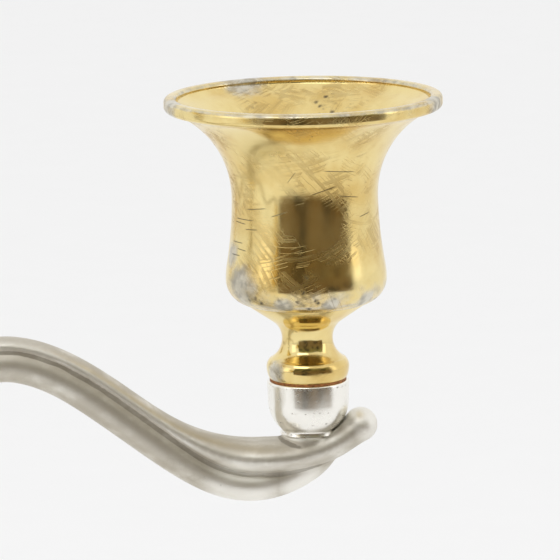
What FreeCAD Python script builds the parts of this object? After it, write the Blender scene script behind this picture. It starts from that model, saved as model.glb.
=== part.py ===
import FreeCAD, Part
import math
import os
import Sketcher

# A five-light table candelabrum. A weighted round base carries a turned column whose socket takes the
# plug of a branch unit: a hub, four serpentine arms and a centre stem. Each arm and the stem end in a
# small bowl, and a gilt candle cup screws into it. All lengths are millimetres; Z is up and the origin
# is the middle of the underside of the felt.

Vector = FreeCAD.Vector
Placement = FreeCAD.Placement

OUTPUT = "parts"
ARMS = ["east", "north", "west", "south"]
QUARTER_TURN = 90
HALF_TURN = 180
FULL_TURN = 360

# The driving dimensions: an alias and a value, in millimetres.
DIMENSIONS = [
    # the whole object
    ("arm_reach", 120.0),
    ("cup_seat_height", 215.0),
    ("centre_cup_rise", 46.0),
    ("rod_radius", 2.95),
    ("rod_clearance", 0.15),
    # the gilt candle cup, measured up from the underside of its foot
    ("candle_bore_radius", 11.5),
    ("candle_bore_length", 10.0),
    ("candle_bore_start", 23.8),
    ("cup_wall", 1.0),
    ("cup_waist_height", 31.8),
    ("cup_waist_curve", 66.8),
    ("cup_belly_swell", 1.3),
    ("cup_belly_height", 17.4),
    ("cup_shoulder_rise", 2.6),
    ("cup_shoulder_inset", 0.25),
    ("cup_floor_height", 13.3),
    ("cup_floor_thickness", 1.6),
    ("cup_joint_radius", 10.6),
    ("cup_flare_curve", 16.2),
    ("cup_height", 49.0),
    ("cup_lip_flare", 11.2),
    ("cup_lip_width", 2.1),
    ("cup_lip_height", 2.3),
    ("cup_lip_rounding", 0.75),
    # the turned foot under the cup
    ("foot_neck_radius", 4.37),
    ("foot_neck_height", 7.0),
    ("foot_neck_curve", 3.8),
    ("foot_ring_radius", 7.12),
    ("foot_ring_height", 2.05),
    ("foot_bottom_radius", 6.7),
    # the threaded stud that joins cup, foot and bowl
    ("stud_radius", 2.45),
    ("stud_clearance", 0.05),
    ("stud_engagement", 6.0),
    ("stud_head_radius", 4.3),
    ("stud_head_height", 1.1),
    ("cup_washer_thickness", 0.35),
    ("cup_washer_inset", 0.1),
    # the silver bowl under the cup
    ("bowl_radius", 7.05),
    ("bowl_height", 9.3),
    ("bowl_side_height", 4.9),
    ("bowl_neck_radius", 4.8),
    ("bowl_edge_bevel", 0.35),
    ("bowl_tenon_radius", 2.6),
    ("bowl_tenon_length", 2.2),
    # the arm: x inset from the cup axis, and height from the cup seat
    ("arm_half_width", 3.6),
    ("arm_crest_inset", 52.6),
    ("arm_crest_rise", 4.5),
    ("arm_trough_inset", 10.2),
    ("arm_trough_drop", 15.6),
    ("arm_root_run", 15.4),
    ("arm_root_drop", 33.0),
    ("arm_tip_start", 6.5),
    ("arm_tip_run", 15.4),
    ("arm_tip_rise", 5.1),
    ("arm_keel_curve", 18.0),
    ("arm_keel_heading", 44.0),
    ("arm_pad_radius", 4.6),
    ("arm_pad_flare", 0.4),
    ("arm_pad_depth", 3.4),
    ("arm_flange_radius", 6.2),
    ("arm_flange_width", 2.4),
    ("arm_tenon_radius", 2.45),
    ("arm_tenon_end", 0.8),
    ("arm_nut_flats", 8.0),
    ("arm_nut_width", 3.5),
    # the hub that holds the arms
    ("hub_height", 24.0),
    ("hub_radius", 13.6),
    ("hub_bead_swell", 1.0),
    ("hub_bead_height", 3.0),
    ("hub_centre_drop", 31.0),
    ("hub_spot_depth", 1.0),
    ("hub_spot_clearance", 0.3),
    ("hub_floor", 2.5),
    ("hub_wall", 4.1),
    ("hub_cavity_corner", 3.0),
    ("hub_rim_width", 3.0),
    ("hub_mouth_depth", 2.6),
    ("cap_height", 7.0),
    ("cap_clearance", 0.1),
    ("cap_neck_radius", 5.6),
    # the plug, socket and seat washer
    ("socket_bore_radius", 11.2),
    ("plug_clearance", 0.08),
    ("plug_length", 22.5),
    ("plug_flange_height", 3.5),
    ("plug_flange_overhang", 3.6),
    ("plug_recess_radius", 8.0),
    ("plug_recess_depth", 8.0),
    ("seat_washer_thickness", 0.5),
    ("seat_washer_inset", 2.2),
    ("socket_height", 39.0),
    ("socket_depth", 25.0),
    ("socket_rim_width", 5.8),
    ("socket_wall", 1.9),
    ("socket_neck_radius", 6.6),
    # the column
    ("base_collar_height", 6.0),
    ("base_collar_radius", 14.2),
    ("knop_height", 15.0),
    ("knop_radius", 15.5),
    ("knop_neck_radius", 8.4),
    ("upper_knop_height", 9.0),
    ("upper_knop_radius", 10.6),
    ("shaft_belly_radius", 12.2),
    ("shaft_neck_radius", 6.4),
    # the base
    ("base_radius", 66.0),
    ("base_wall", 1.4),
    ("base_lift", 0.8),
    ("base_rim_curve", 1.8),
    ("base_rim_height", 4.6),
    ("base_border_inset", 3.4),
    ("base_step_radius", 48.0),
    ("base_step_height", 9.6),
    ("base_step_rise", 1.8),
    ("base_dome_radius", 34.0),
    ("base_dome_height", 21.0),
    ("base_neck_radius", 11.5),
    ("base_height", 37.0),
    ("felt_thickness", 1.6),
    ("plate_thickness", 1.0),
    ("plate_clearance", 0.25),
    ("weight_recess_radius", 11.0),
    ("weight_recess_depth", 7.4),
    ("nut_flats", 10.0),
    ("nut_height", 5.0),
    ("washer_radius", 9.0),
    ("washer_thickness", 1.4),
]

document = FreeCAD.newDocument("candelabrum")
sheet = document.addObject("Spreadsheet::Sheet", "dims")
sub_parts = []


class Size:
    """A length that knows its value and the formula that binds it to the spreadsheet."""

    def __init__(self, value, formula):
        self.value = value
        self.formula = formula

    def __add__(self, other):
        other = size_of(other)
        return Size(self.value + other.value, f"({self.formula} + {other.formula})")

    def __sub__(self, other):
        other = size_of(other)
        return Size(self.value - other.value, f"({self.formula} - {other.formula})")

    def __mul__(self, other):
        other = size_of(other)
        return Size(self.value * other.value, f"({self.formula} * {other.formula})")

    def __truediv__(self, other):
        other = size_of(other)
        return Size(self.value / other.value, f"({self.formula} / {other.formula})")


def size_of(thing):
    """A plain number as a Size."""
    return thing if isinstance(thing, Size) else Size(float(thing), f"{float(thing):.9g}")


def sine(angle):
    return Size(math.sin(math.radians(angle.value)), f"sin({angle.formula} * 1 deg)")


def cosine(angle):
    return Size(math.cos(math.radians(angle.value)), f"cos({angle.formula} * 1 deg)")


def angle_of(rise, run):
    """The slope of a rise over a run, as an angle in degrees without a unit."""
    degrees = math.degrees(math.atan(rise.value / run.value))
    return Size(degrees, f"(atan({rise.formula} / {run.formula}) / 1 deg)")


def leg_of(long_side, short_side):
    """The third side of a right-angled triangle, from its longest side and one other."""
    value = math.sqrt(long_side.value ** 2 - short_side.value ** 2)
    return Size(value, f"sqrt({long_side.formula}^2 - {short_side.formula}^2)")


def fill_sheet():
    """Writes the driving dimensions into the spreadsheet and returns them by name."""
    sizes = {}
    for row, (alias, value) in enumerate(DIMENSIONS, start=1):
        sheet.set(f"A{row}", alias)
        sheet.set(f"B{row}", str(value))
        sheet.setAlias(f"B{row}", alias)
        sizes[alias] = Size(value, f"dims.{alias}")
    document.recompute()
    return sizes


dims = fill_sheet()

# Lengths that several pieces share, worked out from the driving dimensions.
rod_hole = dims["rod_radius"] + dims["rod_clearance"]
bowl_floor = dims["cup_seat_height"] - dims["bowl_height"]
hub_middle = dims["cup_seat_height"] - dims["hub_centre_drop"]
hub_bottom = hub_middle - dims["hub_height"] / 2
hub_top = hub_middle + dims["hub_height"] / 2
hub_flat = dims["hub_radius"] - dims["hub_spot_depth"]
hub_cavity_half = hub_flat - dims["hub_wall"]
hub_bead_radius = dims["hub_radius"] + dims["hub_bead_swell"]
hub_mouth_radius = hub_bead_radius - dims["hub_rim_width"]
arm_tenon_start = hub_cavity_half - dims["arm_nut_width"] - dims["arm_tenon_end"]
plug_bottom = hub_bottom - dims["plug_flange_height"] - dims["plug_length"]
plug_flange_radius = dims["socket_bore_radius"] + dims["plug_flange_overhang"]
socket_top = hub_bottom - dims["plug_flange_height"] - dims["seat_washer_thickness"]
socket_bottom = socket_top - dims["socket_height"]
plate_top = dims["felt_thickness"] + dims["plate_thickness"]
skirt_inside = dims["base_radius"] - dims["base_border_inset"] - dims["base_wall"]


# ---- lathe-turned pieces -------------------------------------------------------------------------


class Bend:
    """An edge that reaches its corner as an arc: the radius, and whether it turns to the left."""

    def __init__(self, radius, left):
        self.radius = radius
        self.left = left


def left(radius):
    return Bend(size_of(radius), True)


def right(radius):
    return Bend(size_of(radius), False)


# A half circle that bulges outwards between two corners, one straight above the other.
HALF_ROUND = Bend(None, True)


def arc_between(start, end, bend):
    """A sketch arc of the bend's radius from start to end; a sketch arc always runs to the left."""
    first, last = (start, end) if bend.left else (end, start)
    chord = last - first
    half = chord.Length / 2
    radius = bend.radius.value if bend.radius else half
    to_centre = Vector(-chord.y, chord.x, 0).normalize() * math.sqrt(radius ** 2 - half ** 2)
    centre = (first + last) / 2 + to_centre
    angles = [math.atan2(p.y - centre.y, p.x - centre.x) for p in (first, last)]
    return Part.ArcOfCircle(Part.Circle(centre, Vector(0, 0, 1), radius), angles[0], angles[1])


def bend_rule(edge, corner):
    """The constraint that sets how round an arc is, and the size that it is bound to."""
    bend = corner[2]
    if bend.radius:
        return Sketcher.Constraint("Radius", edge, bend.radius.value), bend.radius
    return Sketcher.Constraint("DistanceX", -1, 1, edge, 3, corner[0].value), corner[0]


def place_corner(sketch, edge, point, across, up):
    """Fixes one corner of a sketch at its distances from the origin, bound to the spreadsheet."""
    for name, axis, distance in (("DistanceX", -2, across), ("DistanceY", -1, up)):
        if abs(distance.value) < 1e-9:
            sketch.addConstraint(Sketcher.Constraint("PointOnObject", edge, point, axis))
            continue
        rule = Sketcher.Constraint(name, -1, 1, edge, point, distance.value)
        sketch.setExpression(f"Constraints[{sketch.addConstraint(rule)}]", distance.formula)


def draw_outline(sketch, corners):
    """Draws a closed outline. A corner is (across, up) or (across, up, bend of the edge to it)."""
    corners = [(size_of(c[0]), size_of(c[1]), *c[2:]) for c in corners]
    starts = []
    for index, corner in enumerate(corners):
        before = corners[index - 1]
        start = Vector(before[0].value, before[1].value, 0)
        end = Vector(corner[0].value, corner[1].value, 0)
        if len(corner) == 2:
            edge = sketch.addGeometry(Part.LineSegment(start, end))
            starts.append((edge, 1, 2))
            continue
        edge = sketch.addGeometry(arc_between(start, end, corner[2]))
        starts.append((edge, 1, 2) if corner[2].left else (edge, 2, 1))
        rule, bound_to = bend_rule(edge, corner)
        sketch.setExpression(f"Constraints[{sketch.addConstraint(rule)}]", bound_to.formula)
    for index, (edge, first, last) in enumerate(starts):
        next_edge, next_first, _ = starts[(index + 1) % len(starts)]
        sketch.addConstraint(Sketcher.Constraint("Coincident", edge, last, next_edge, next_first))
        place_corner(sketch, edge, last, corners[index][0], corners[index][1])


def plane_of(body, role):
    return next(f for f in body.Origin.OriginFeatures if f.Role == role)


def new_sketch(body, name, role):
    sketch = body.newObject("Sketcher::SketchObject", name)
    sketch.AttachmentSupport = (plane_of(body, role), [""])
    sketch.MapMode = "FlatFace"
    return sketch


def new_body(label):
    body = document.addObject("PartDesign::Body", label)
    body.Label = label
    return body


def turned(label, corners, lift=0.0):
    """A body turned on a lathe from an outline of (radius, height) corners, lifted to its place."""
    body = new_body(label)
    sketch = new_sketch(body, f"{label}_outline", "XZ_Plane")
    draw_outline(sketch, corners)
    turn = body.newObject("PartDesign::Revolution", f"{label}_turn")
    turn.Profile = sketch
    turn.ReferenceAxis = (sketch, ["V_Axis"])
    turn.Angle = FULL_TURN
    body.Tip = turn
    move(body, z=lift)
    document.recompute()
    return body


def move(thing, x=0.0, y=0.0, z=0.0):
    """Places an object by three bound distances."""
    for axis, distance in (("x", x), ("y", y), ("z", z)):
        thing.setExpression(f"Placement.Base.{axis}", size_of(distance).formula)


def keep(thing):
    """Marks an object as one of the candelabrum's pieces."""
    sub_parts.append(thing)
    return thing


def copy_around(source, label, angle):
    """The same piece again, turned about the candelabrum's axis."""
    copy = document.addObject("Part::Compound", label)
    copy.Label = label
    copy.Links = [source]
    copy.Placement = Placement(Vector(), FreeCAD.Rotation(Vector(0, 0, 1), angle))
    return keep(copy)


def copy_to_centre(source, label):
    """The same piece again, on the centre stem."""
    copy = document.addObject("Part::Compound", label)
    copy.Label = label
    copy.Links = [source]
    move(copy, x=dims["arm_reach"] * -1, z=dims["centre_cup_rise"])
    return keep(copy)


def at_every_light(piece, name):
    """Names the piece for the east arm and copies it to the other arms and the centre stem."""
    piece.Label = f"{name}_east"
    keep(piece)
    for turn, arm in enumerate(ARMS[1:], start=1):
        copy_around(piece, f"{name}_{arm}", turn * QUARTER_TURN)
    copy_to_centre(piece, f"{name}_centre")


def on_east_arm(piece, height):
    """Moves a turned piece to the east cup's axis."""
    move(piece, x=dims["arm_reach"], z=height)
    return piece


# ---- the candle cups -----------------------------------------------------------------------------


def cup_shell():
    """The spun cup: a round belly, a waist that grips the candle, and a flared mouth with a lip."""
    bore = dims["candle_bore_radius"]
    bore_start = dims["candle_bore_start"]
    bore_end = bore_start + dims["candle_bore_length"]
    waist = bore + dims["cup_wall"]
    flare = dims["cup_flare_curve"]
    belly = waist + dims["cup_belly_swell"]
    belly_height = dims["cup_belly_height"]
    shoulder = (belly - dims["cup_shoulder_inset"], belly_height + dims["cup_shoulder_rise"])
    lip = waist + dims["cup_lip_flare"]
    lip_inside = lip - dims["cup_lip_width"]
    lip_bottom = dims["cup_height"] - dims["cup_lip_height"]
    rounding = dims["cup_lip_rounding"]
    flare_end = lip_inside - 0.3
    flare_height = dims["cup_waist_height"] + leg_of(flare, waist + flare - flare_end)
    floor = dims["cup_floor_height"]
    floor_top = floor + dims["cup_floor_thickness"]
    belly_inside = belly - dims["cup_wall"] * 1.4
    corner_curve = 3.2
    return turned("cup_shell", [
        (dims["stud_radius"], floor),
        (dims["cup_joint_radius"], floor),
        (belly, belly_height, left(4.3)),
        (*shoulder, left(13.6)),
        (waist, dims["cup_waist_height"], right(dims["cup_waist_curve"])),
        (flare_end, flare_height, right(flare)),
        (lip - rounding, lip_bottom),
        (lip, lip_bottom + rounding, left(rounding)),
        (lip, dims["cup_height"] - rounding),
        (lip - rounding, dims["cup_height"], left(rounding)),
        (lip_inside + rounding, dims["cup_height"]),
        (lip_inside, dims["cup_height"] - rounding, left(rounding)),
        (lip_inside, flare_height + dims["cup_wall"] * 1.3),
        (flare_end - dims["cup_wall"] * 0.4, flare_height + dims["cup_wall"]),
        (bore, bore_end, left(14.4)),
        (bore, bore_start),
        (belly_inside, floor_top + corner_curve),
        (belly_inside - corner_curve, floor_top, right(corner_curve)),
        (dims["stud_radius"], floor_top),
    ])


def cup_foot():
    """The turned foot: a ring at the bottom, a narrow neck, and a funnel up to the cup."""
    neck = dims["foot_neck_radius"]
    neck_height = dims["foot_neck_height"]
    curve = dims["foot_neck_curve"]
    ring = dims["foot_ring_radius"]
    ring_height = dims["foot_ring_height"]
    lower_angle, upper_angle = size_of(58), size_of(54)
    under = (neck + curve - curve * cosine(lower_angle), neck_height - curve * sine(lower_angle))
    over = (neck + curve - curve * cosine(upper_angle), neck_height + curve * sine(upper_angle))
    return turned("cup_foot", [
        (dims["stud_radius"], 0),
        (dims["foot_bottom_radius"], 0),
        (ring, ring_height, left(5)),
        (*under, left(2.04)),
        (neck, neck_height, right(curve)),
        (*over, right(curve)),
        (dims["cup_joint_radius"], dims["cup_floor_height"]),
        (dims["stud_radius"], dims["cup_floor_height"]),
    ])


def cup_stud():
    """The stud, riveted over inside the cup; its threaded end reaches down into the bowl."""
    engagement = dims["stud_engagement"] + dims["cup_washer_thickness"]
    head_bottom = engagement + dims["cup_floor_height"] + dims["cup_floor_thickness"]
    radius = dims["stud_radius"]
    head = dims["stud_head_radius"]
    head_top = head_bottom + dims["stud_head_height"]
    point = 0.6
    flat_top = 0.8
    return turned("cup_stud", [
        (0, 0),
        (radius - point, 0),
        (radius, point),
        (radius, head_bottom),
        (head, head_bottom),
        (head * 0.86, head_bottom + dims["stud_head_height"] * 0.6, left(1.2)),
        (flat_top, head_top, left(9)),
        (0, head_top),
    ])


def cup_washer():
    """The thin fibre washer between the gilt foot and the silver bowl."""
    outside = dims["foot_bottom_radius"] - dims["cup_washer_inset"]
    inside = dims["stud_radius"] + dims["stud_clearance"] * 3
    return turned("cup_washer", [
        (inside, 0),
        (outside, 0),
        (outside, dims["cup_washer_thickness"]),
        (inside, dims["cup_washer_thickness"]),
    ])


def bowl():
    """The silver bowl: a tenon into the arm, a rounded side, and a flat top bored for the stud."""
    tenon_length = dims["bowl_tenon_length"]
    top = tenon_length + dims["bowl_height"]
    side = tenon_length + dims["bowl_side_height"] + 0.8
    neck_top = tenon_length + 0.8
    radius = dims["bowl_radius"]
    bevel = dims["bowl_edge_bevel"]
    bore = dims["stud_radius"] + dims["stud_clearance"]
    bore_bottom = top - dims["stud_engagement"] - 0.6
    return turned("bowl", [
        (0, 0),
        (dims["bowl_tenon_radius"], 0),
        (dims["bowl_tenon_radius"], tenon_length),
        (dims["bowl_neck_radius"] + 0.2, tenon_length),
        (dims["bowl_neck_radius"], neck_top, right(1.6)),
        (radius - 0.1, side, left(6.65)),
        (radius, top - bevel),
        (radius - bevel, top, left(bevel)),
        (bore, top),
        (bore, bore_bottom),
        (0, bore_bottom),
    ])


def make_lights():
    seat = dims["cup_seat_height"]
    foot_height = seat + dims["cup_washer_thickness"]
    at_every_light(on_east_arm(cup_shell(), foot_height), "cup_shell")
    at_every_light(on_east_arm(cup_foot(), foot_height), "cup_foot")
    at_every_light(on_east_arm(cup_stud(), seat - dims["stud_engagement"]), "cup_stud")
    at_every_light(on_east_arm(cup_washer(), seat), "cup_washer")
    east_bowl = on_east_arm(bowl(), bowl_floor - dims["bowl_tenon_length"])
    at_every_light(east_bowl, "bowl")
    return east_bowl


# ---- the arms ------------------------------------------------------------------------------------


class Station:
    """A point on an arm's middle line, with the angle that the line climbs at."""

    def __init__(self, x, z, climb):
        self.x = size_of(x)
        self.z = size_of(z)
        self.climb = size_of(climb)

    def beside(self, offset):
        """The point at a distance above the line, square to it."""
        offset = size_of(offset)
        return self.x - offset * sine(self.climb), self.z + offset * cosine(self.climb)


def wave(start, end, share):
    """A station on the half wave that joins two level points."""
    run, rise = end[0] - start[0], end[1] - start[1]
    height_share = (1 - math.cos(math.pi * share)) / 2
    steepness = math.pi / 2 * math.sin(math.pi * share)
    climb = angle_of(rise * steepness, run)
    return Station(start[0] + run * share, start[1] + rise * height_share, climb)


def curl(start, radius, heading, share):
    """A station on an arc that leaves a level point and climbs to a heading."""
    climb = heading * share
    across = start[0] + radius * sine(climb)
    up = start[1] + radius * (size_of(1) - cosine(climb))
    return Station(across, up, climb)


def section(name, station, offset, half_height, half_width):
    """An oval across the arm, square to its middle line, sized in shares of the arm's half width."""
    x, z = station.beside(dims["arm_half_width"] * offset)
    oval = document.addObject("Part::Ellipse", name)
    oval.setExpression("MajorRadius", (dims["arm_half_width"] * half_width).formula)
    oval.setExpression("MinorRadius", (dims["arm_half_width"] * half_height).formula)
    turn = f"rotation(vector(0; 1; 0); -1 * {station.climb.formula})"
    upright = "rotation(vector(1; 1; 1); 120)"
    middle = f"vector({x.formula}; 0; {z.formula})"
    oval.setExpression("Placement", f"placement({middle}; {turn} * {upright})")
    return oval


def rounded_end(name, station, half_height, half_width):
    """An ellipsoid that closes a strand with a rounded nose. Half of it shows."""
    nose = document.addObject("Part::Ellipsoid", name)
    nose.setExpression("Radius1", (dims["arm_half_width"] * half_height).formula)
    nose.setExpression("Radius2", (dims["arm_half_width"] * half_height).formula)
    nose.setExpression("Radius3", (dims["arm_half_width"] * half_width).formula)
    nose.Angle1, nose.Angle2, nose.Angle3 = -QUARTER_TURN, QUARTER_TURN, FULL_TURN
    move(nose, x=station.x, z=station.z)
    return nose


def lofted(name, sections):
    loft = document.addObject("Part::Loft", name)
    loft.Sections = sections
    loft.Solid, loft.Ruled = True, False
    return loft


def round_bar(name, radius, length, x, z, along_x):
    """A plain cylinder, upright or lying along the arm."""
    bar = document.addObject("Part::Cylinder", name)
    bar.setExpression("Radius", size_of(radius).formula)
    bar.setExpression("Height", size_of(length).formula)
    if along_x:
        bar.Placement = Placement(Vector(), FreeCAD.Rotation(Vector(0, 1, 0), QUARTER_TURN))
    move(bar, x=x, z=z)
    return bar


def arm_line():
    """The stations of the arm's middle line, from the hub to the trough under the cup."""
    cup_x, seat = dims["arm_reach"], dims["cup_seat_height"]
    root = (hub_flat, hub_middle)
    dip = (hub_flat + dims["arm_root_run"], seat - dims["arm_root_drop"])
    crest = (cup_x - dims["arm_crest_inset"], seat + dims["arm_crest_rise"])
    trough = (cup_x - dims["arm_trough_inset"], seat - dims["arm_trough_drop"])
    line = [wave(root, dip, share) for share in (0.0, 0.5)]
    line += [wave(dip, crest, share) for share in (0.0, 0.2, 0.4, 0.6, 0.8)]
    line += [wave(crest, trough, share) for share in (0.0, 0.2, 0.4, 0.6, 0.74, 0.87, 1.0)]
    return line, trough


def arm_strand(line, trough):
    """The upper strand: a slim bead along the arm that widens under the cup and curls up as the tip."""
    # offset above the middle line, half height and half width at each station, as shares of arm_half_width
    shape = [
        (0.25, 0.889, 1.083), (0.333, 0.833, 1.056), (0.444, 0.722, 1), (0.583, 0.556, 0.889),
        (0.667, 0.444, 0.819), (0.681, 0.417, 0.778), (0.681, 0.403, 0.764), (0.681, 0.403, 0.764),
        (0.681, 0.403, 0.764), (0.681, 0.403, 0.764), (0.681, 0.431, 0.806), (0.694, 0.583, 0.972),
        (0.694, 0.764, 1.222), (0.667, 0.833, 1.5),
    ]
    ovals = [section(f"strand_{i}", s, *sizes) for i, (s, sizes) in enumerate(zip(line, shape))]
    start = (dims["arm_reach"] - dims["arm_tip_start"], trough[1] + dims["arm_half_width"] * shape[-1][0])
    heading = angle_of(dims["arm_tip_rise"], dims["arm_tip_run"]) * 2
    radius = dims["arm_tip_run"] / sine(heading)
    # share of the curl, half height and half width
    tip_shape = [(0.12, 0.833, 1.556), (0.4, 0.819, 1.5), (0.7, 0.806, 1.306), (1, 0.819, 1.056)]
    for number, (share, half_height, half_width) in enumerate(tip_shape):
        station = curl(start, radius, heading, share)
        ovals.append(section(f"tip_{number}", station, 0, half_height, half_width))
    nose = rounded_end("tip_nose", station, half_height, half_width)
    return lofted("arm_strand", ovals), nose


def arm_keel(line, trough):
    """The deep lower body of the arm. Its tail curls up into the strand under the cup."""
    shape = [
        (-0.25, 0.944, 1.028), (-0.25, 0.917, 1.014), (-0.25, 0.917, 1), (-0.236, 0.903, 1),
        (-0.222, 0.889, 1), (-0.222, 0.889, 1), (-0.222, 0.889, 1), (-0.222, 0.889, 1),
        (-0.222, 0.889, 1), (-0.236, 0.903, 1), (-0.264, 0.903, 1), (-0.389, 0.889, 1),
        (-0.597, 0.861, 1), (-0.736, 0.833, 1),
    ]
    ovals = [section(f"keel_{i}", s, *sizes) for i, (s, sizes) in enumerate(zip(line, shape))]
    start = (trough[0], trough[1] + dims["arm_half_width"] * shape[-1][0])
    radius, heading = dims["arm_keel_curve"], dims["arm_keel_heading"]
    # share of the curl, half height and half width; the last ovals lie inside the strand
    tail_shape = [
        (0.3, 0.806, 0.972), (0.65, 0.75, 0.917), (1, 0.653, 0.806), (1.15, 0.528, 0.639), (1.3, 0.333, 0.417),
    ]
    for number, (share, half_height, half_width) in enumerate(tail_shape):
        station = curl(start, radius, heading, share)
        ovals.append(section(f"tail_{number}", station, 0, half_height, half_width))
    return lofted("arm_keel", ovals)


def arm_pad():
    """The boss under the bowl, flared down into the top of the arm."""
    pad = document.addObject("Part::Cone", "arm_pad")
    pad.setExpression("Radius1", (dims["arm_pad_radius"] + dims["arm_pad_flare"]).formula)
    pad.setExpression("Radius2", dims["arm_pad_radius"].formula)
    pad.setExpression("Height", dims["arm_pad_depth"].formula)
    move(pad, x=dims["arm_reach"], z=bowl_floor - dims["arm_pad_depth"])
    return pad


def make_arms(east_bowl):
    """The four arms. The bowl's own shape is cut from the arm, so it seats in it all over."""
    line, trough = arm_line()
    strand, tip_nose = arm_strand(line, trough)
    keel = arm_keel(line, trough)
    flange = round_bar(
        "arm_flange", dims["arm_flange_radius"], dims["arm_flange_width"],
        hub_flat, hub_middle, along_x=True,
    )
    tenon = round_bar(
        "arm_tenon", dims["arm_tenon_radius"], hub_flat - arm_tenon_start,
        arm_tenon_start, hub_middle, along_x=True,
    )
    solid = document.addObject("Part::MultiFuse", "arm_solid")
    solid.Shapes = [strand, keel, tip_nose, arm_pad(), flange, tenon]
    arm = document.addObject("Part::Cut", "arm")
    arm.Base, arm.Tool = solid, east_bowl
    arm.Label = "arm_east"
    keep(arm)
    for turn, name in enumerate(ARMS[1:], start=1):
        copy_around(arm, f"arm_{name}", turn * QUARTER_TURN)


# ---- nuts and rods -------------------------------------------------------------------------------


def hexagon_nut(label, flats, height, bore):
    """A hexagon prism with a hole, its underside on the XY plane."""
    corner_radius = flats / math.sqrt(3)
    prism = document.addObject("Part::Prism", f"{label}_prism")
    prism.Polygon = 6
    prism.setExpression("Circumradius", corner_radius.formula)
    prism.setExpression("Height", height.formula)
    hole = round_bar(f"{label}_hole", bore, height, 0, 0, along_x=False)
    nut = document.addObject("Part::Cut", label)
    nut.Base, nut.Tool = prism, hole
    nut.Label = label
    return nut


def make_arm_nuts():
    """Four nuts inside the hub, one on the threaded end of each arm."""
    nut = hexagon_nut("arm_nut", dims["arm_nut_flats"], dims["arm_nut_width"], dims["arm_tenon_radius"])
    nut.Placement = Placement(Vector(), FreeCAD.Rotation(Vector(0, 1, 0), QUARTER_TURN))
    move(nut, x=hub_cavity_half - dims["arm_nut_width"], z=hub_middle)
    turned_nuts = []
    for turn in range(1, len(ARMS)):
        copy = document.addObject("Part::Compound", f"arm_nut_{turn}")
        copy.Links = [nut]
        turn_angle = FreeCAD.Rotation(Vector(0, 0, 1), turn * QUARTER_TURN)
        copy.Placement = Placement(Vector(), turn_angle)
        turned_nuts.append(copy)
    nuts = document.addObject("Part::Compound", "arm_nuts")
    nuts.Links = [nut, *turned_nuts]
    keep(nuts)


# ---- the branch unit -----------------------------------------------------------------------------


def hub_blank():
    """The turned hub, with a bead at each end and a round mouth at the top."""
    bead_height = dims["hub_bead_height"]
    height, radius = dims["hub_height"], dims["hub_radius"]
    bead_middle = hub_bead_radius - bead_height / 2
    mouth_floor = height - dims["hub_mouth_depth"]
    return turned("hub", [
        (rod_hole, 0),
        (bead_middle, 0),
        (bead_middle, bead_height, HALF_ROUND),
        (radius, bead_height + 1.2, right(2)),
        (radius, height - bead_height - 1.2),
        (bead_middle, height - bead_height, right(2)),
        (bead_middle, height, HALF_ROUND),
        (hub_mouth_radius, height),
        (hub_mouth_radius, mouth_floor),
        (rod_hole, mouth_floor),
    ], lift=hub_bottom)


def hub_cavity(hub):
    """A square chamber with rounded corners, where the arms' nuts sit."""
    half, corner = hub_cavity_half, dims["hub_cavity_corner"]
    sketch = new_sketch(hub, "hub_cavity_outline", "XY_Plane")
    flat_end = half - corner
    draw_outline(sketch, [
        (half, flat_end * -1, left(corner)),
        (half, flat_end),
        (flat_end, half, left(corner)),
        (flat_end * -1, half),
        (half * -1, flat_end, left(corner)),
        (half * -1, flat_end * -1),
        (flat_end * -1, half * -1, left(corner)),
        (flat_end, half * -1),
    ])
    return sketch


def bore_across(hub, name, radius, start, length):
    """A round pocket cut outwards along X from a given distance, then repeated for every arm."""
    sketch = new_sketch(hub, f"{name}_outline", "YZ_Plane")
    sketch.AttachmentOffset = Placement(Vector(0, 0, start.value), FreeCAD.Rotation())
    sketch.setExpression("AttachmentOffset.Base.z", start.formula)
    centre = Vector(0, dims["hub_height"].value / 2, 0)
    circle = sketch.addGeometry(Part.Circle(centre, Vector(0, 0, 1), radius.value))
    sketch.addConstraint(Sketcher.Constraint("PointOnObject", circle, 3, -2))
    up = Sketcher.Constraint("DistanceY", -1, 1, circle, 3, centre.y)
    sketch.setExpression(f"Constraints[{sketch.addConstraint(up)}]", "dims.hub_height / 2")
    wide = Sketcher.Constraint("Radius", circle, radius.value)
    sketch.setExpression(f"Constraints[{sketch.addConstraint(wide)}]", radius.formula)
    pocket = hub.newObject("PartDesign::Pocket", name)
    pocket.Profile = sketch
    pocket.Type = 0
    pocket.Reversed = True
    pocket.setExpression("Length", length.formula)
    document.recompute()
    return pocket


def make_hub():
    hub = hub_blank()
    blank_volume = hub.Shape.Volume
    sketch = hub_cavity(hub)
    sketch.AttachmentOffset = Placement(Vector(0, 0, dims["hub_floor"].value), FreeCAD.Rotation())
    sketch.setExpression("AttachmentOffset.Base.z", "dims.hub_floor")
    cavity = hub.newObject("PartDesign::Pocket", "hub_cavity")
    cavity.Profile = sketch
    cavity.Type = 1
    cavity.Reversed = True
    document.recompute()
    spot_radius = dims["arm_flange_radius"] + dims["hub_spot_clearance"]
    spot = bore_across(hub, "arm_spot_face", spot_radius, hub_flat, dims["hub_radius"])
    past_wall = 0.5
    start, length = hub_cavity_half - past_wall, dims["hub_wall"] + past_wall * 2
    hole = bore_across(hub, "arm_hole", dims["arm_tenon_radius"], start, length)
    pattern = hub.newObject("PartDesign::PolarPattern", "arm_places")
    pattern.Originals = [spot, hole]
    pattern.Axis = (plane_of(hub, "Z_Axis"), [""])
    pattern.Angle = FULL_TURN
    pattern.Occurrences = len(ARMS)
    hub.Tip = pattern
    document.recompute()
    if hub.Shape.Volume > 0.75 * blank_volume:
        raise RuntimeError("the hub's pockets cut nothing")
    keep(hub)


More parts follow.
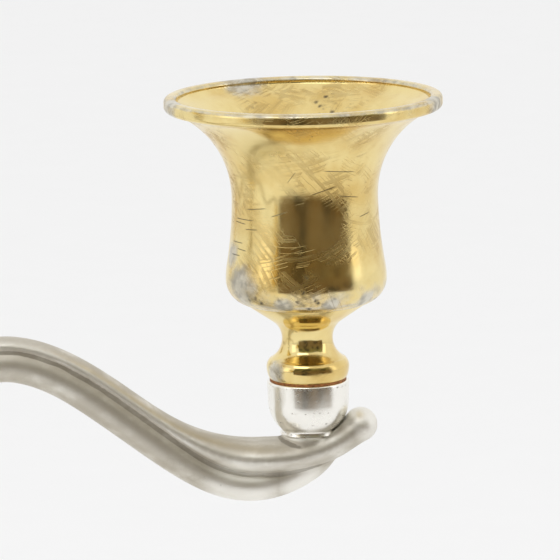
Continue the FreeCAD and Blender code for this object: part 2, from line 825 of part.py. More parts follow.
def make_branch_fittings():
    plug = dims["socket_bore_radius"] - dims["plug_clearance"]
    length, flange = dims["plug_length"], plug_flange_radius
    recess, depth = dims["plug_recess_radius"], dims["plug_recess_depth"]
    top = length + dims["plug_flange_height"]
    edge = dims["plug_flange_height"] / 2
    lead = 1.0
    keep(turned("branch_plug", [
        (recess, 0),
        (plug - lead, 0),
        (plug, lead * 2),
        (plug, length),
        (flange - edge, length),
        (flange - edge, top, HALF_ROUND),
        (rod_hole, top),
        (rod_hole, depth),
        (recess, depth),
    ], lift=plug_bottom))
    washer_inside = dims["socket_bore_radius"] + dims["plug_clearance"]
    washer_outside = flange - dims["seat_washer_inset"]
    keep(turned("seat_washer", [
        (washer_inside, 0),
        (washer_outside, 0),
        (washer_outside, dims["seat_washer_thickness"]),
        (washer_inside, dims["seat_washer_thickness"]),
    ], lift=socket_top))
    nut = hexagon_nut("branch_nut", dims["nut_flats"], dims["nut_height"], dims["rod_radius"])
    move(nut, z=plug_bottom + depth - dims["nut_height"])
    keep(nut)
    rod_bottom = plug_bottom + depth - dims["nut_height"] - 1.0
    rod_top = hub_top + dims["cap_height"] + 9.0
    rod = round_bar("branch_rod", dims["rod_radius"], rod_top - rod_bottom, 0, rod_bottom, False)
    rod.Label = "branch_rod"
    keep(rod)


def make_centre_stem():
    """The cap that closes the hub, and the slim turned stem that carries the centre cup."""
    spigot, depth = hub_mouth_radius - dims["cap_clearance"], dims["hub_mouth_depth"]
    height, neck = dims["cap_height"], dims["cap_neck_radius"]
    cap_edge = hub_mouth_radius + 1.4
    keep(turned("hub_cap", [
        (rod_hole, 0),
        (spigot, 0),
        (spigot, depth),
        (cap_edge, depth),
        (cap_edge, depth + 2.0, HALF_ROUND),
        (neck + 2.4, depth + 3.4, right(6)),
        (neck, depth + height, right(7)),
        (rod_hole, depth + height),
    ], lift=hub_top - depth))
    stem_bottom = hub_top + height
    full = bowl_floor + dims["centre_cup_rise"] - stem_bottom
    thread_depth = 10.0
    pad = dims["arm_pad_radius"]
    tenon_floor = full - dims["bowl_tenon_length"]
    keep(turned("centre_stem", [
        (dims["rod_radius"], 0),
        (neck + 0.4, 0),
        (neck + 2.2, 3.0, left(3.2)),
        (neck + 0.2, 6.2, left(3.2)),
        (neck - 0.6, 7.2),
        (neck - 1.4, full * 0.28, right(18)),
        (neck + 1.6, full * 0.62, right(60)),
        (neck - 0.4, full * 0.76, left(8)),
        (neck - 1.9, full * 0.86, right(9)),
        (pad + 0.3, full - 2.0, right(7)),
        (pad, full, left(2.4)),
        (dims["bowl_tenon_radius"], full),
        (dims["bowl_tenon_radius"], tenon_floor),
        (0, tenon_floor),
        (0, thread_depth),
        (dims["rod_radius"], thread_depth),
    ], lift=stem_bottom))


# ---- the column ----------------------------------------------------------------------------------


def make_column():
    collar_height, collar = dims["base_collar_height"], dims["base_collar_radius"]
    neck = dims["knop_neck_radius"]
    bead_height = collar_height / 2
    bead_middle = collar - bead_height / 2
    keep(turned("base_collar", [
        (rod_hole, 0),
        (bead_middle, 0),
        (bead_middle, bead_height, HALF_ROUND),
        (neck + 1.2, bead_height + 0.8, right(8)),
        (neck, collar_height, right(4)),
        (rod_hole, collar_height),
    ], lift=dims["base_height"]))

    knop_bottom = dims["base_height"] + collar_height
    knop_height, knop = dims["knop_height"], dims["knop_radius"]
    groove = 1.2
    keep(turned("lower_knop", [
        (rod_hole, 0),
        (neck, 0),
        (neck, groove),
        (neck + 1.6, groove + 1.2, right(1.6)),
        (knop, knop_height / 2, left(6.4)),
        (neck + 1.6, knop_height - groove - 1.2, left(6.4)),
        (neck, knop_height - groove, right(1.6)),
        (neck, knop_height),
        (rod_hole, knop_height),
    ], lift=knop_bottom))

    shaft_bottom = knop_bottom + knop_height
    upper_bottom = socket_bottom - dims["upper_knop_height"]
    tall = upper_bottom - shaft_bottom
    belly, slim = dims["shaft_belly_radius"], dims["shaft_neck_radius"]
    keep(turned("column_shaft", [
        (rod_hole, 0),
        (neck + 2.2, 0),
        (neck + 2.2, 2.4, HALF_ROUND),
        (neck + 0.6, 3.4, right(2)),
        (slim, tall * 0.26, right(tall * 0.26)),
        (belly - 1.8, tall * 0.66, right(tall * 1.2)),
        (belly - 1.6, tall * 0.82, left(tall * 0.103)),
        (slim + 0.6, tall * 0.9, right(tall * 0.145)),
        (slim + 0.4, tall - 2.2, right(tall * 0.113)),
        (slim + 2.0, tall - 1.1, left(1.7)),
        (slim + 1.2, tall, left(1.7)),
        (rod_hole, tall),
    ], lift=shaft_bottom))

    upper_height, upper = dims["upper_knop_height"], dims["upper_knop_radius"]
    keep(turned("upper_knop", [
        (rod_hole, 0),
        (slim + 1.2, 0),
        (slim + 1.2, 0.8),
        (upper, upper_height / 2, left(4.3)),
        (slim + 0.6, upper_height - 0.8, left(4.6)),
        (slim + 0.6, upper_height),
        (rod_hole, upper_height),
    ], lift=upper_bottom))


def make_socket():
    """The column's silver nozzle, bored for the plug of the branch unit. Returns its thread's depth."""
    height = dims["socket_height"]
    bore, depth = dims["socket_bore_radius"], dims["socket_depth"]
    waist, rim = bore + dims["socket_wall"], bore + dims["socket_rim_width"]
    neck = dims["socket_neck_radius"]
    bore_floor = height - depth
    thread_depth = bore_floor - 2.0
    lip = 0.9
    keep(turned("column_socket", [
        (dims["rod_radius"], 0),
        (neck, 0),
        (neck - 0.6, 2.6, right(5)),
        (waist - 1.4, bore_floor + 0.6, right(9.5)),
        (waist + 0.9, bore_floor + 4.2, left(4.2)),
        (waist, height * 0.68, right(40)),
        (rim - lip, height - lip * 2, right(15)),
        (rim - lip, height, left(lip)),
        (bore, height),
        (bore, bore_floor),
        (0, bore_floor),
        (0, thread_depth),
        (dims["rod_radius"], thread_depth),
    ], lift=socket_bottom))
    return thread_depth


def make_tie_rod(top):
    bottom = dims["felt_thickness"] + dims["plate_thickness"] + 0.6
    rod = round_bar("tie_rod", dims["rod_radius"], top - bottom, 0, bottom, False)
    rod.Label = "tie_rod"
    keep(rod)


# ---- the base ------------------------------------------------------------------------------------


def make_base_shell():
    """The spun base: a rolled rim, a dished border, a step and a domed foot, open underneath."""
    radius, lift, wall = dims["base_radius"], dims["base_lift"], dims["base_wall"]
    curve, rim_height = dims["base_rim_curve"], dims["base_rim_height"]
    border = radius - dims["base_border_inset"]
    step, step_height = dims["base_step_radius"], dims["base_step_height"]
    step_top = step_height + dims["base_step_rise"]
    dome, dome_height = dims["base_dome_radius"], dims["base_dome_height"]
    neck, top = dims["base_neck_radius"], dims["base_height"]
    keep(turned("base_shell", [
        (skirt_inside, lift),
        (radius - curve, lift),
        (radius, lift + curve, left(curve)),
        (radius, lift + rim_height - curve),
        (radius - curve, lift + rim_height, left(curve)),
        (border, lift + rim_height),
        (border, lift + rim_height + 1.0),
        (step, step_height, right(60)),
        (step, step_top),
        (step - 1.6, step_top + 1.6, left(1.6)),
        (dome, dome_height, left(22)),
        (neck, top, right(26)),
        (rod_hole, top),
        (rod_hole, top - wall),
        (neck - wall, top - wall),
        (dome - wall, dome_height - wall, left(26)),
        (step - wall * 2, step_top + 0.6, right(22)),
        (step - wall, step_top - wall * 0.4),
        (step - wall, step_height - wall),
        (skirt_inside, lift + rim_height - 0.2, left(60)),
    ]))


def make_base_fillings():
    """The felt, the closing plate, the cast weight, and the nut and washer that hold the column."""
    disc = skirt_inside - dims["plate_clearance"]
    keep(turned("felt_pad", [
        (0, 0),
        (disc, 0),
        (disc, dims["felt_thickness"]),
        (0, dims["felt_thickness"]),
    ]))
    keep(turned("base_plate", [
        (0, 0),
        (disc, 0),
        (disc, dims["plate_thickness"]),
        (0, dims["plate_thickness"]),
    ], lift=dims["felt_thickness"]))
    recess, depth = dims["weight_recess_radius"], dims["weight_recess_depth"]
    broad = dims["base_step_radius"] - dims["base_wall"] - 2.6
    pillar = dims["base_neck_radius"] - dims["base_wall"] - 1.6
    pillar_top = dims["base_height"] - dims["base_wall"] - plate_top
    dome, dome_height = dims["base_dome_radius"], dims["base_dome_height"]
    keep(turned("base_weight", [
        (recess, 0),
        (broad, 0),
        (broad, 6.2),
        (dome - 3.0, dome_height - 8.0),
        (pillar + 4.0, dome_height + 1.0),
        (pillar, dome_height + 6.0),
        (pillar, pillar_top),
        (rod_hole, pillar_top),
        (rod_hole, depth),
        (recess, depth),
    ], lift=plate_top))
    washer_bottom = plate_top + depth - dims["washer_thickness"]
    keep(turned("base_washer", [
        (rod_hole, 0),
        (dims["washer_radius"], 0),
        (dims["washer_radius"], dims["washer_thickness"]),
        (rod_hole, dims["washer_thickness"]),
    ], lift=washer_bottom))
    nut = hexagon_nut("base_nut", dims["nut_flats"], dims["nut_height"], dims["rod_radius"])
    move(nut, z=washer_bottom - dims["nut_height"])
    keep(nut)


# ---- build and write -----------------------------------------------------------------------------


def build():
    make_base_shell()
    make_base_fillings()
    make_column()
    make_tie_rod(socket_bottom + make_socket())
    make_branch_fittings()
    make_hub()
    make_centre_stem()
    make_arms(make_lights())
    make_arm_nuts()
    document.recompute()


def check():
    """Stops the build if any object failed or any sub-part is empty or broken."""
    for thing in document.Objects:
        if {"Invalid", "Error"} & set(thing.State):
            raise RuntimeError(f"{thing.Label} failed: {thing.State}")
    for piece in sub_parts:
        shape = piece.Shape
        if shape.isNull() or not shape.isValid() or not shape.Solids:
            raise RuntimeError(f"{piece.Label} has no valid solid")
        if min(solid.Volume for solid in shape.Solids) <= 0:
            raise RuntimeError(f"{piece.Label} has a solid with no volume")


def write():
    os.makedirs(OUTPUT, exist_ok=True)
    for piece in sub_parts:
        piece.Shape.exportStep(os.path.join(OUTPUT, f"{piece.Label}.step"))
        print(f"{piece.Label:20s} {piece.Shape.Volume / 1000:9.3f} cm3")
    print(len(sub_parts), "sub-parts")


build()
check()
write()
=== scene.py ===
# %% [markdown]
# # A five-light candelabrum
# The candelabrum stands on a weighted round base. Its column ends in a silver socket, and a branch
# unit with four serpentine arms and a raised middle light drops into it. Each light is a small silver
# bowl with a gilt candle cup screwed into it. The engineering model holds every size, place and
# motion. This lesson loads it as a fixed frame and builds the finished surfaces round it.

import math

import bpy
import numpy as np
from mathutils import Matrix, Vector


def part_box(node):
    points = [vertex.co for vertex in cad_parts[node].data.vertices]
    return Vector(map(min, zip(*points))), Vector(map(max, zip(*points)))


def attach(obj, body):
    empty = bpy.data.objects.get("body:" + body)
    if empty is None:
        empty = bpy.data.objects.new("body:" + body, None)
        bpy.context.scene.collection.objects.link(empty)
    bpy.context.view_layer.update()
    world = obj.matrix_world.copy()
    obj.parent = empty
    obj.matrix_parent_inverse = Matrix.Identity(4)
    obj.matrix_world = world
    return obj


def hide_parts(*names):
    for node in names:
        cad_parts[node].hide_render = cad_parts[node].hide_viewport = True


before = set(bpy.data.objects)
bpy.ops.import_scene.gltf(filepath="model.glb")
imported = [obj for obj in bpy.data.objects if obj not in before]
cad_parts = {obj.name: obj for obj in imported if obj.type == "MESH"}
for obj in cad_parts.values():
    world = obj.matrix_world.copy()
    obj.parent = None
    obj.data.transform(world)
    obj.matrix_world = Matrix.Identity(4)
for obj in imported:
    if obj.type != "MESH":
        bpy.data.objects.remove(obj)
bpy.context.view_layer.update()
MM = 0.001
QUARTER_TURN = math.tau / 4

# %% [markdown]
# Every light has the same pieces, so one set is modelled on the east arm and copied to the others. A
# light's place is the middle of the thin washer between its cup and its bowl, so it is read from the
# washer's box.

# %% The places of the lights
ARMS = ["east", "north", "west", "south"]
LIGHTS = ARMS + ["centre"]


def foot_of(node):
    """The middle of a piece's underside."""
    low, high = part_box(node)
    return Vector(((low.x + high.x) / 2, (low.y + high.y) / 2, low.z))


seats = {light: foot_of(f"cup_washer_{light}") for light in LIGHTS}
washer_low, washer_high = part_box("cup_washer_east")
WASHER_THICKNESS = washer_high.z - washer_low.z
for light, seat in seats.items():
    print(light, "light sits at", [round(c / MM, 1) for c in seat])

# %% [markdown]
# ## Working by hand
# Operators act on whatever is selected, and the loaded frame leaves its own pieces selected. So each
# new piece begins by letting go of everything.

# %% Small helpers for the bench


def let_go():
    """Deselects everything."""
    if bpy.context.object and bpy.context.object.mode != "OBJECT":
        bpy.ops.object.mode_set(mode="OBJECT")
    for thing in bpy.context.selected_objects:
        thing.select_set(False)


def pick(piece):
    """Selects one piece and makes it the active one."""
    let_go()
    piece.select_set(True)
    bpy.context.view_layer.objects.active = piece


def apply(piece, kind, **settings):
    """Adds a modifier with these settings and applies it."""
    pick(piece)
    modifier = piece.modifiers.new(kind.title(), kind)
    for setting, value in settings.items():
        setattr(modifier, setting, value)
    bpy.ops.object.modifier_apply(modifier=modifier.name)


def smooth(piece, sharp_above=math.radians(38)):
    """Shades a piece smooth, apart from its sharp edges."""
    pick(piece)
    bpy.ops.object.shade_smooth_by_angle(angle=sharp_above)


def settle(piece):
    """Moves a piece's turn, scale and place into its mesh."""
    pick(piece)
    bpy.ops.object.transform_apply(location=True, rotation=True, scale=True)


# %% [markdown]
# ## Turning on the lathe
# Cups, feet, knops and the base are all made on a lathe or spun over a form. The same is done here:
# one vertex is extruded along half of the outline, and the outline is spun about the axis. An outline
# is a list of corners, each a radius and a height in millimetres. A third number makes the edge that
# reaches the corner an arc of that radius: positive bends to the left of the way travelled, negative
# to the right.

# %% Outlines with arcs
ARC_STEP = math.radians(9)
LONGEST_CHORD = 0.9


def arc_points(start, end, radius):
    """The points after start on an arc to end."""
    chord = end - start
    half = chord.length / 2
    side = 1 if radius > 0 else -1
    away = math.sqrt(max(radius * radius - half * half, 0))
    centre = (start + end) / 2 + Vector((-chord.y, chord.x)).normalized() * away * side
    sweep = 2 * math.asin(min(half / abs(radius), 1))
    count = max(2, math.ceil(sweep / ARC_STEP), math.ceil(abs(radius) * sweep / LONGEST_CHORD))
    spoke = start - centre
    return [centre + Matrix.Rotation(side * sweep * step / count, 2) @ spoke for step in range(1, count + 1)]


def traced(corners):
    """An outline's points, with its arcs divided."""
    points = [Vector(corners[0][:2])]
    for corner in corners[1:]:
        end = Vector(corner[:2])
        points += arc_points(points[-1], end, corner[2]) if len(corner) == 3 else [end]
    return points


# %% [markdown]
# The outline starts as a small plane merged to one vertex. After the spin the first and last rings
# lie on each other, so doubles are merged and the faces are turned outwards. A narrow bevel breaks
# the sharp corners, because polished metal always shows a bright line there.

# %% The lathe


def start_outline(name, place, points):
    """A chain of edges through the points, on the right-hand side of the axis at a place."""
    let_go()
    first = place + Vector((points[0].x, 0, points[0].y)) * MM
    bpy.ops.mesh.primitive_plane_add(size=MM, location=first)
    piece = bpy.context.object
    piece.name = name
    bpy.ops.object.mode_set(mode="EDIT")
    bpy.ops.mesh.select_mode(type="VERT")
    bpy.ops.mesh.select_all(action="SELECT")
    bpy.ops.mesh.merge(type="CENTER")
    for before, after in zip(points, points[1:]):
        step = (after - before) * MM
        bpy.ops.mesh.extrude_region_move(TRANSFORM_OT_translate={"value": (step.x, 0, step.y)})
    return piece


def turned(name, corners, place, sides=96, edge=0.12):
    """A lathe-turned piece from its outline, standing at a place. The edge is the bevel, in millimetres."""
    piece = start_outline(name, place, traced(corners))
    bpy.ops.mesh.select_all(action="SELECT")
    bpy.ops.mesh.remove_doubles(threshold=0.001 * MM)
    bpy.ops.mesh.spin(steps=sides, angle=math.tau, center=place, axis=(0, 0, 1))
    bpy.ops.mesh.select_all(action="SELECT")
    bpy.ops.mesh.remove_doubles(threshold=0.002 * MM)
    bpy.ops.mesh.normals_make_consistent(inside=False)
    bpy.ops.object.mode_set(mode="OBJECT")
    settle(piece)
    if edge:
        apply(piece, "BEVEL", width=edge * MM, segments=2, limit_method="ANGLE", angle_limit=math.radians(35))
    smooth(piece)
    return piece


# %% [markdown]
# Tarnish gathers in hollows and polishing wears the edges bright. Both are marked on the mesh once,
# as attributes that the materials read: how far each vertex lies below or above the mean of its
# neighbours. The "place" attribute is each vertex's position measured from the piece's own foot, so a
# copied cup carries its marks with it.

# %% Marks on the mesh
RELIEF_GAIN = 4


def relief_of(piece, rounds=3):
    """For each vertex, how hollow (positive) or proud (negative) the surface is, from about -1 to 1."""
    mesh = piece.data
    edges = np.array([e.vertices[:] for e in mesh.edges])
    places = np.array([v.co[:] for v in mesh.vertices])
    normals = np.array([v.normal[:] for v in mesh.vertices])
    a, b = edges[:, 0], edges[:, 1]
    count = np.maximum(np.bincount(np.concatenate([a, b]), minlength=len(places)), 1)[:, None]

    def neighbours(values):
        total = np.zeros_like(values)
        np.add.at(total, a, values[b])
        np.add.at(total, b, values[a])
        return total / count

    lengths = np.linalg.norm(places[a] - places[b], axis=1)
    spans = np.zeros((len(places), 1))
    np.add.at(spans, a, lengths[:, None])
    np.add.at(spans, b, lengths[:, None])
    height = ((neighbours(places) - places) * normals).sum(1, keepdims=True)
    relief = height / np.maximum(spans / count, 1e-9) * RELIEF_GAIN
    for _ in range(rounds):
        relief = (relief + neighbours(relief)) / 2
    return np.clip(relief[:, 0], -1, 1)


def mark(piece, origin, rounds=3):
    """Stores the relief and the place of every vertex."""
    mesh = piece.data
    relief = mesh.attributes.new("relief", "FLOAT", "POINT")
    relief.data.foreach_set("value", relief_of(piece, rounds))
    places = [v.co - origin for v in mesh.vertices]
    place = mesh.attributes.new("place", "FLOAT_VECTOR", "POINT")
    place.data.foreach_set("vector", [c for p in places for c in p])


def copied(piece, name, turn, shift):
    """A copy with its own mesh, turned about the candelabrum's axis and then shifted."""
    pick(piece)
    bpy.ops.object.duplicate(linked=False)
    copy = bpy.context.object
    copy.name = name
    copy.data.transform(Matrix.Translation(shift) @ Matrix.Rotation(turn, 4, "Z"))
    copy.data.name = name
    return copy


def fit(piece, body, slot, material, *nodes):
    """Finishes a piece: its material, the body it rides on and the nodes it stands for. The slot is not used.
    """
    piece.data.materials.clear()
    piece.data.materials.append(material)
    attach(piece, body)
    if nodes:
        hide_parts(*nodes)


# %% [markdown]
# ## Node helpers
# Materials are built from a few small shader groups. A helper adds one node, and any setting that is
# itself a socket gets linked.

# %% Adding nodes


def add(tree, kind, inputs=None, **settings):
    """Adds a node, sets its properties, and sets or links its inputs by name or number."""
    new = tree.nodes.new(kind)
    for setting, value in settings.items():
        setattr(new, setting, value)
    for key, value in (inputs or {}).items():
        socket = new.inputs[key]
        if isinstance(value, bpy.types.NodeSocket):
            tree.links.new(value, socket)
        else:
            socket.default_value = value
    return new


def math_node(tree, operation, first, second=0.0):
    return add(tree, "ShaderNodeMath", {0: first, 1: second}, operation=operation).outputs[0]


def ramp(tree, value, low, high, to_low=0.0, to_high=1.0):
    """Maps low..high smoothly to another range."""
    settings = {"Value": value, "From Min": low, "From Max": high, "To Min": to_low, "To Max": to_high}
    return add(tree, "ShaderNodeMapRange", settings, interpolation_type="SMOOTHSTEP").outputs[0]


def blend_colour(tree, mask, first, second):
    return add(tree, "ShaderNodeMix", {0: mask, 6: first, 7: second}, data_type="RGBA").outputs[2]


def new_group(name, inputs, outputs):
    """A shader group with named inputs (with defaults) and named outputs."""
    group = bpy.data.node_groups.new(name, "ShaderNodeTree")
    for socket, default in inputs.items():
        kind = "NodeSocketVector" if default is None else "NodeSocketFloat"
        made = group.interface.new_socket(socket, in_out="INPUT", socket_type=kind)
        if default is not None:
            made.default_value = default
    for socket in outputs:
        group.interface.new_socket(socket, in_out="OUTPUT", socket_type="NodeSocketFloat")
    return group, group.nodes.new("NodeGroupInput").outputs, group.nodes.new("NodeGroupOutput").inputs


def use(tree, group, **inputs):
    """Places a group and returns its outputs. An input's name is written with underscores for spaces."""
    placed = add(tree, "ShaderNodeGroup", node_tree=group)
    for key, value in inputs.items():
        socket = placed.inputs[key.replace("_", " ")]
        if isinstance(value, bpy.types.NodeSocket):
            tree.links.new(value, socket)
        else:
            socket.default_value = value
    return placed.outputs


# %% [markdown]
# Fine scratches come from polishing in circles, so they are arcs. Rings at uneven distances round a
# far point give the arcs: a noise is read by distance alone, and a line is drawn where it crosses its
# middle value. Two noises break the rings into short strokes, and four sets with different centres
# cross each other.

# %% The scratches group

LINE_WIDTH = 0.045


def arcs_round(tree, vector, centre, spacing):
    """Thin arcs round a centre, given in millimetres, where a noise over the distance crosses its middle."""
    target = Vector(centre) * MM
    away = add(tree, "ShaderNodeVectorMath", {0: vector, 1: target}, operation="DISTANCE").outputs["Value"]
    settings = {"W": away, "Scale": 1000 / spacing, "Detail": 2.0}
    noise = add(tree, "ShaderNodeTexNoise", settings, noise_dimensions="1D")
    off_middle = math_node(tree, "ABSOLUTE", math_node(tree, "SUBTRACT", noise.outputs[0], 0.5))
    lines = math_node(tree, "SUBTRACT", 1.0, ramp(tree, off_middle, LINE_WIDTH * 0.3, LINE_WIDTH))
    shifted = add(tree, "ShaderNodeVectorMath", {0: vector, 1: target * 3}, operation="ADD").outputs[0]
    strokes = add(tree, "ShaderNodeTexNoise", {"Vector": shifted, "Scale": 210.0, "Detail": 2.0})
    return math_node(tree, "MULTIPLY", lines, ramp(tree, strokes.outputs[0], 0.5, 0.56))


def make_scratches():
    group, given, out = new_group("fine scratches", {"Vector": None, "Cover": 0.5}, ["Lines"])
    sets = [((30, -20, 60), 0.9), ((-35, -10, 5), 1.1), ((-10, -40, 75), 0.8), ((14, 10, -18), 1.0)]
    total = None
    for centre, spacing in sets:
        lines = arcs_round(group, given["Vector"], centre, spacing)
        total = lines if total is None else math_node(group, "MAXIMUM", total, lines)
    coarse = add(group, "ShaderNodeTexNoise", {"Vector": given["Vector"], "Scale": 90.0, "Detail": 3.0})
    low = math_node(group, "SUBTRACT", 1.0, given["Cover"])
    high = math_node(group, "ADD", low, 0.2)
    broken = ramp(group, coarse.outputs[0], low, high)
    group.links.new(math_node(group, "MULTIPLY", total, broken), out["Lines"])
    return group


scratches = make_scratches()
print("group:", scratches.name)

# %% [markdown]
# Pits are small dark spots where the plating has gone. They come in clusters, so a fine cell pattern
# gives the spots and a coarse noise lets them through only here and there.

# %% The pits group


def make_pits():
    inputs = {"Vector": None, "Scale": 900.0, "Size": 0.2, "Cover": 0.3}
    group, given, out = new_group("pits", inputs, ["Mask"])
    wobble = add(group, "ShaderNodeTexNoise", {"Vector": given["Vector"], "Scale": 1500.0, "Detail": 2.0})
    shift = add(group, "ShaderNodeVectorMath", {0: wobble.outputs[1], "Scale": 0.0006}, operation="SCALE")
    moved = add(group, "ShaderNodeVectorMath", {0: given["Vector"], 1: shift.outputs[0]}, operation="ADD")
    cells = add(group, "ShaderNodeTexVoronoi", {"Vector": moved.outputs[0], "Scale": given["Scale"]})
    spots = math_node(group, "SUBTRACT", 1.0, ramp(group, cells.outputs[0], 0.05, given["Size"]))
    coarse = add(group, "ShaderNodeTexNoise", {"Vector": given["Vector"], "Scale": 190.0, "Detail": 4.0})
    low = math_node(group, "SUBTRACT", 1.0, given["Cover"])
    cover = ramp(group, coarse.outputs[0], low, math_node(group, "ADD", low, 0.1))
    group.links.new(math_node(group, "MULTIPLY", spots, cover), out["Mask"])
    return group


pits = make_pits()

# %% [markdown]
# Worn plating shows as soft-edged patches. The group adds a ragged noise to a mask that the material
# has already made, such as "near this height" or "on proud edges", so that no patch has a clean
# outline.

# %% The ragged edge group


def make_ragged():
    inputs = {"Vector": None, "Mask": 0.0, "Scale": 350.0, "Raggedness": 0.6}
    group, given, out = new_group("ragged edge", inputs, ["Mask"])
    settings = {"Vector": given["Vector"], "Scale": given["Scale"], "Detail": 6.0, "Roughness": 0.65}
    noise = add(group, "ShaderNodeTexNoise", settings)
    centred = math_node(group, "SUBTRACT", noise.outputs[0], 0.5)
    rough = math_node(group, "MULTIPLY", centred, given["Raggedness"])
    group.links.new(ramp(group, math_node(group, "ADD", given["Mask"], rough), 0.28, 0.8), out["Mask"])
    return group


ragged = make_ragged()

# %% [markdown]
# A hand-polished surface is never quite flat, so its reflections waver. This group makes a height of
# three sizes of ripple, and every metal sends it through a Bump node.

# %% The wavering surface group


def make_waver():
    inputs = {"Vector": None, "Broad": 1.0, "Fine": 1.0, "Rings": 0.0}
    group, given, out = new_group("waver", inputs, ["Height"])
    broad = add(group, "ShaderNodeTexNoise", {"Vector": given["Vector"], "Scale": 130.0, "Detail": 2.0})
    fine = add(group, "ShaderNodeTexNoise", {"Vector": given["Vector"], "Scale": 1400.0, "Detail": 4.0})
    flat = add(group, "ShaderNodeMapping", {"Vector": given["Vector"], "Scale": (30, 30, 2600)})
    rings = add(group, "ShaderNodeTexNoise", {"Vector": flat.outputs[0], "Scale": 1.0, "Detail": 3.0})
    total = math_node(group, "MULTIPLY", broad.outputs[0], given["Broad"])
    for noise, share in ((fine, "Fine"), (rings, "Rings")):
        total = math_node(group, "ADD", total, math_node(group, "MULTIPLY", noise.outputs[0], given[share]))
    group.links.new(total, out["Height"])
    return group


waver = make_waver()
print("groups:", [g.name for g in bpy.data.node_groups])

# %% [markdown]
# ## The finishes
# A new material is a Principled shader. These helpers fetch its tree and the marks on the mesh, make
# masks near a height or a point, and put masks together.

# %% Starting a material


def new_material(name, **sockets):
    """A material with plain values set on its Principled shader, named with underscores for spaces."""
    material = bpy.data.materials.new(name)
    material.use_nodes = True
    tree = material.node_tree
    shader = tree.nodes["Principled BSDF"]
    for key, value in sockets.items():
        shader.inputs[key.replace("_", " ")].default_value = value
    return material, tree, shader


def place_of(tree):
    return add(tree, "ShaderNodeAttribute", attribute_name="place").outputs["Vector"]


def relief_mask(tree):
    return add(tree, "ShaderNodeAttribute", attribute_name="relief").outputs["Fac"]


def near(tree, value, middle, reach):
    """1 where a value is at the middle, falling to 0 at the reach."""
    away = math_node(tree, "ABSOLUTE", math_node(tree, "SUBTRACT", value, middle))
    return math_node(tree, "SUBTRACT", 1.0, ramp(tree, away, 0.0, reach))


def near_point(tree, vector, point, reach):
    """1 at a point given in millimetres, falling to 0 at the reach."""
    target = Vector(point) * MM
    away = add(tree, "ShaderNodeVectorMath", {0: vector, 1: target}, operation="DISTANCE").outputs["Value"]
    return math_node(tree, "SUBTRACT", 1.0, ramp(tree, away, 0.0, reach * MM))


def bumped(tree, shader, height, distance, strength=1.0):
    bump = add(tree, "ShaderNodeBump", {"Height": height, "Distance": distance * MM, "Strength": strength})
    tree.links.new(bump.outputs[0], shader.inputs["Normal"])


def largest(tree, *masks):
    total = masks[0]
    for mask in masks[1:]:
        total = math_node(tree, "MAXIMUM", total, mask)
    return total


def strongest(tree, mask, share):
    return math_node(tree, "MULTIPLY", mask, share)


def shared(tree, first, first_share, second, second_share):
    """The sum of a share of each of two values."""
    return math_node(tree, "ADD", strongest(tree, first, first_share), strongest(tree, second, second_share))


# %% [markdown]
# The gilding is thin gold over silver-coloured metal, so it has three layers: warm gold that varies a
# little, silver where hands and cloths have worn it through on edges and low on the belly, and
# charcoal pits inside the worn patches. Fine scratches cross all of it. The masks come from the cup's
# own places, in millimetres from its foot.

# %% Gilding

GOLD, DEEP_GOLD = (0.88, 0.72, 0.335, 1), (0.74, 0.53, 0.19, 1)
WORN_SILVER, WORN_GREY = (0.67, 0.65, 0.58, 1), (0.40, 0.39, 0.36, 1)
CHARCOAL, SCRATCH_BROWN = (0.045, 0.045, 0.05, 1), (0.25, 0.16, 0.06, 1)
CUT_WIDTH = 0.13


def deep_scratch(tree, place, centre, length, tilt):
    """One dark cut. It is thin in height, tilted, and no longer than its length. Sizes are in millimetres."""
    settings = {0: place, 1: Vector(centre) * MM}
    offset = add(tree, "ShaderNodeVectorMath", settings, operation="SUBTRACT").outputs[0]
    across = add(tree, "ShaderNodeVectorMath", {0: offset, 1: (-tilt, 0, 1)}, operation="DOT_PRODUCT")
    away = add(tree, "ShaderNodeVectorMath", {0: offset}, operation="LENGTH").outputs["Value"]
    short = math_node(tree, "SUBTRACT", 1.0, ramp(tree, away, length * 0.3 * MM, length * 0.5 * MM))
    return math_node(tree, "MULTIPLY", near(tree, across.outputs["Value"], 0.0, CUT_WIDTH * MM), short)


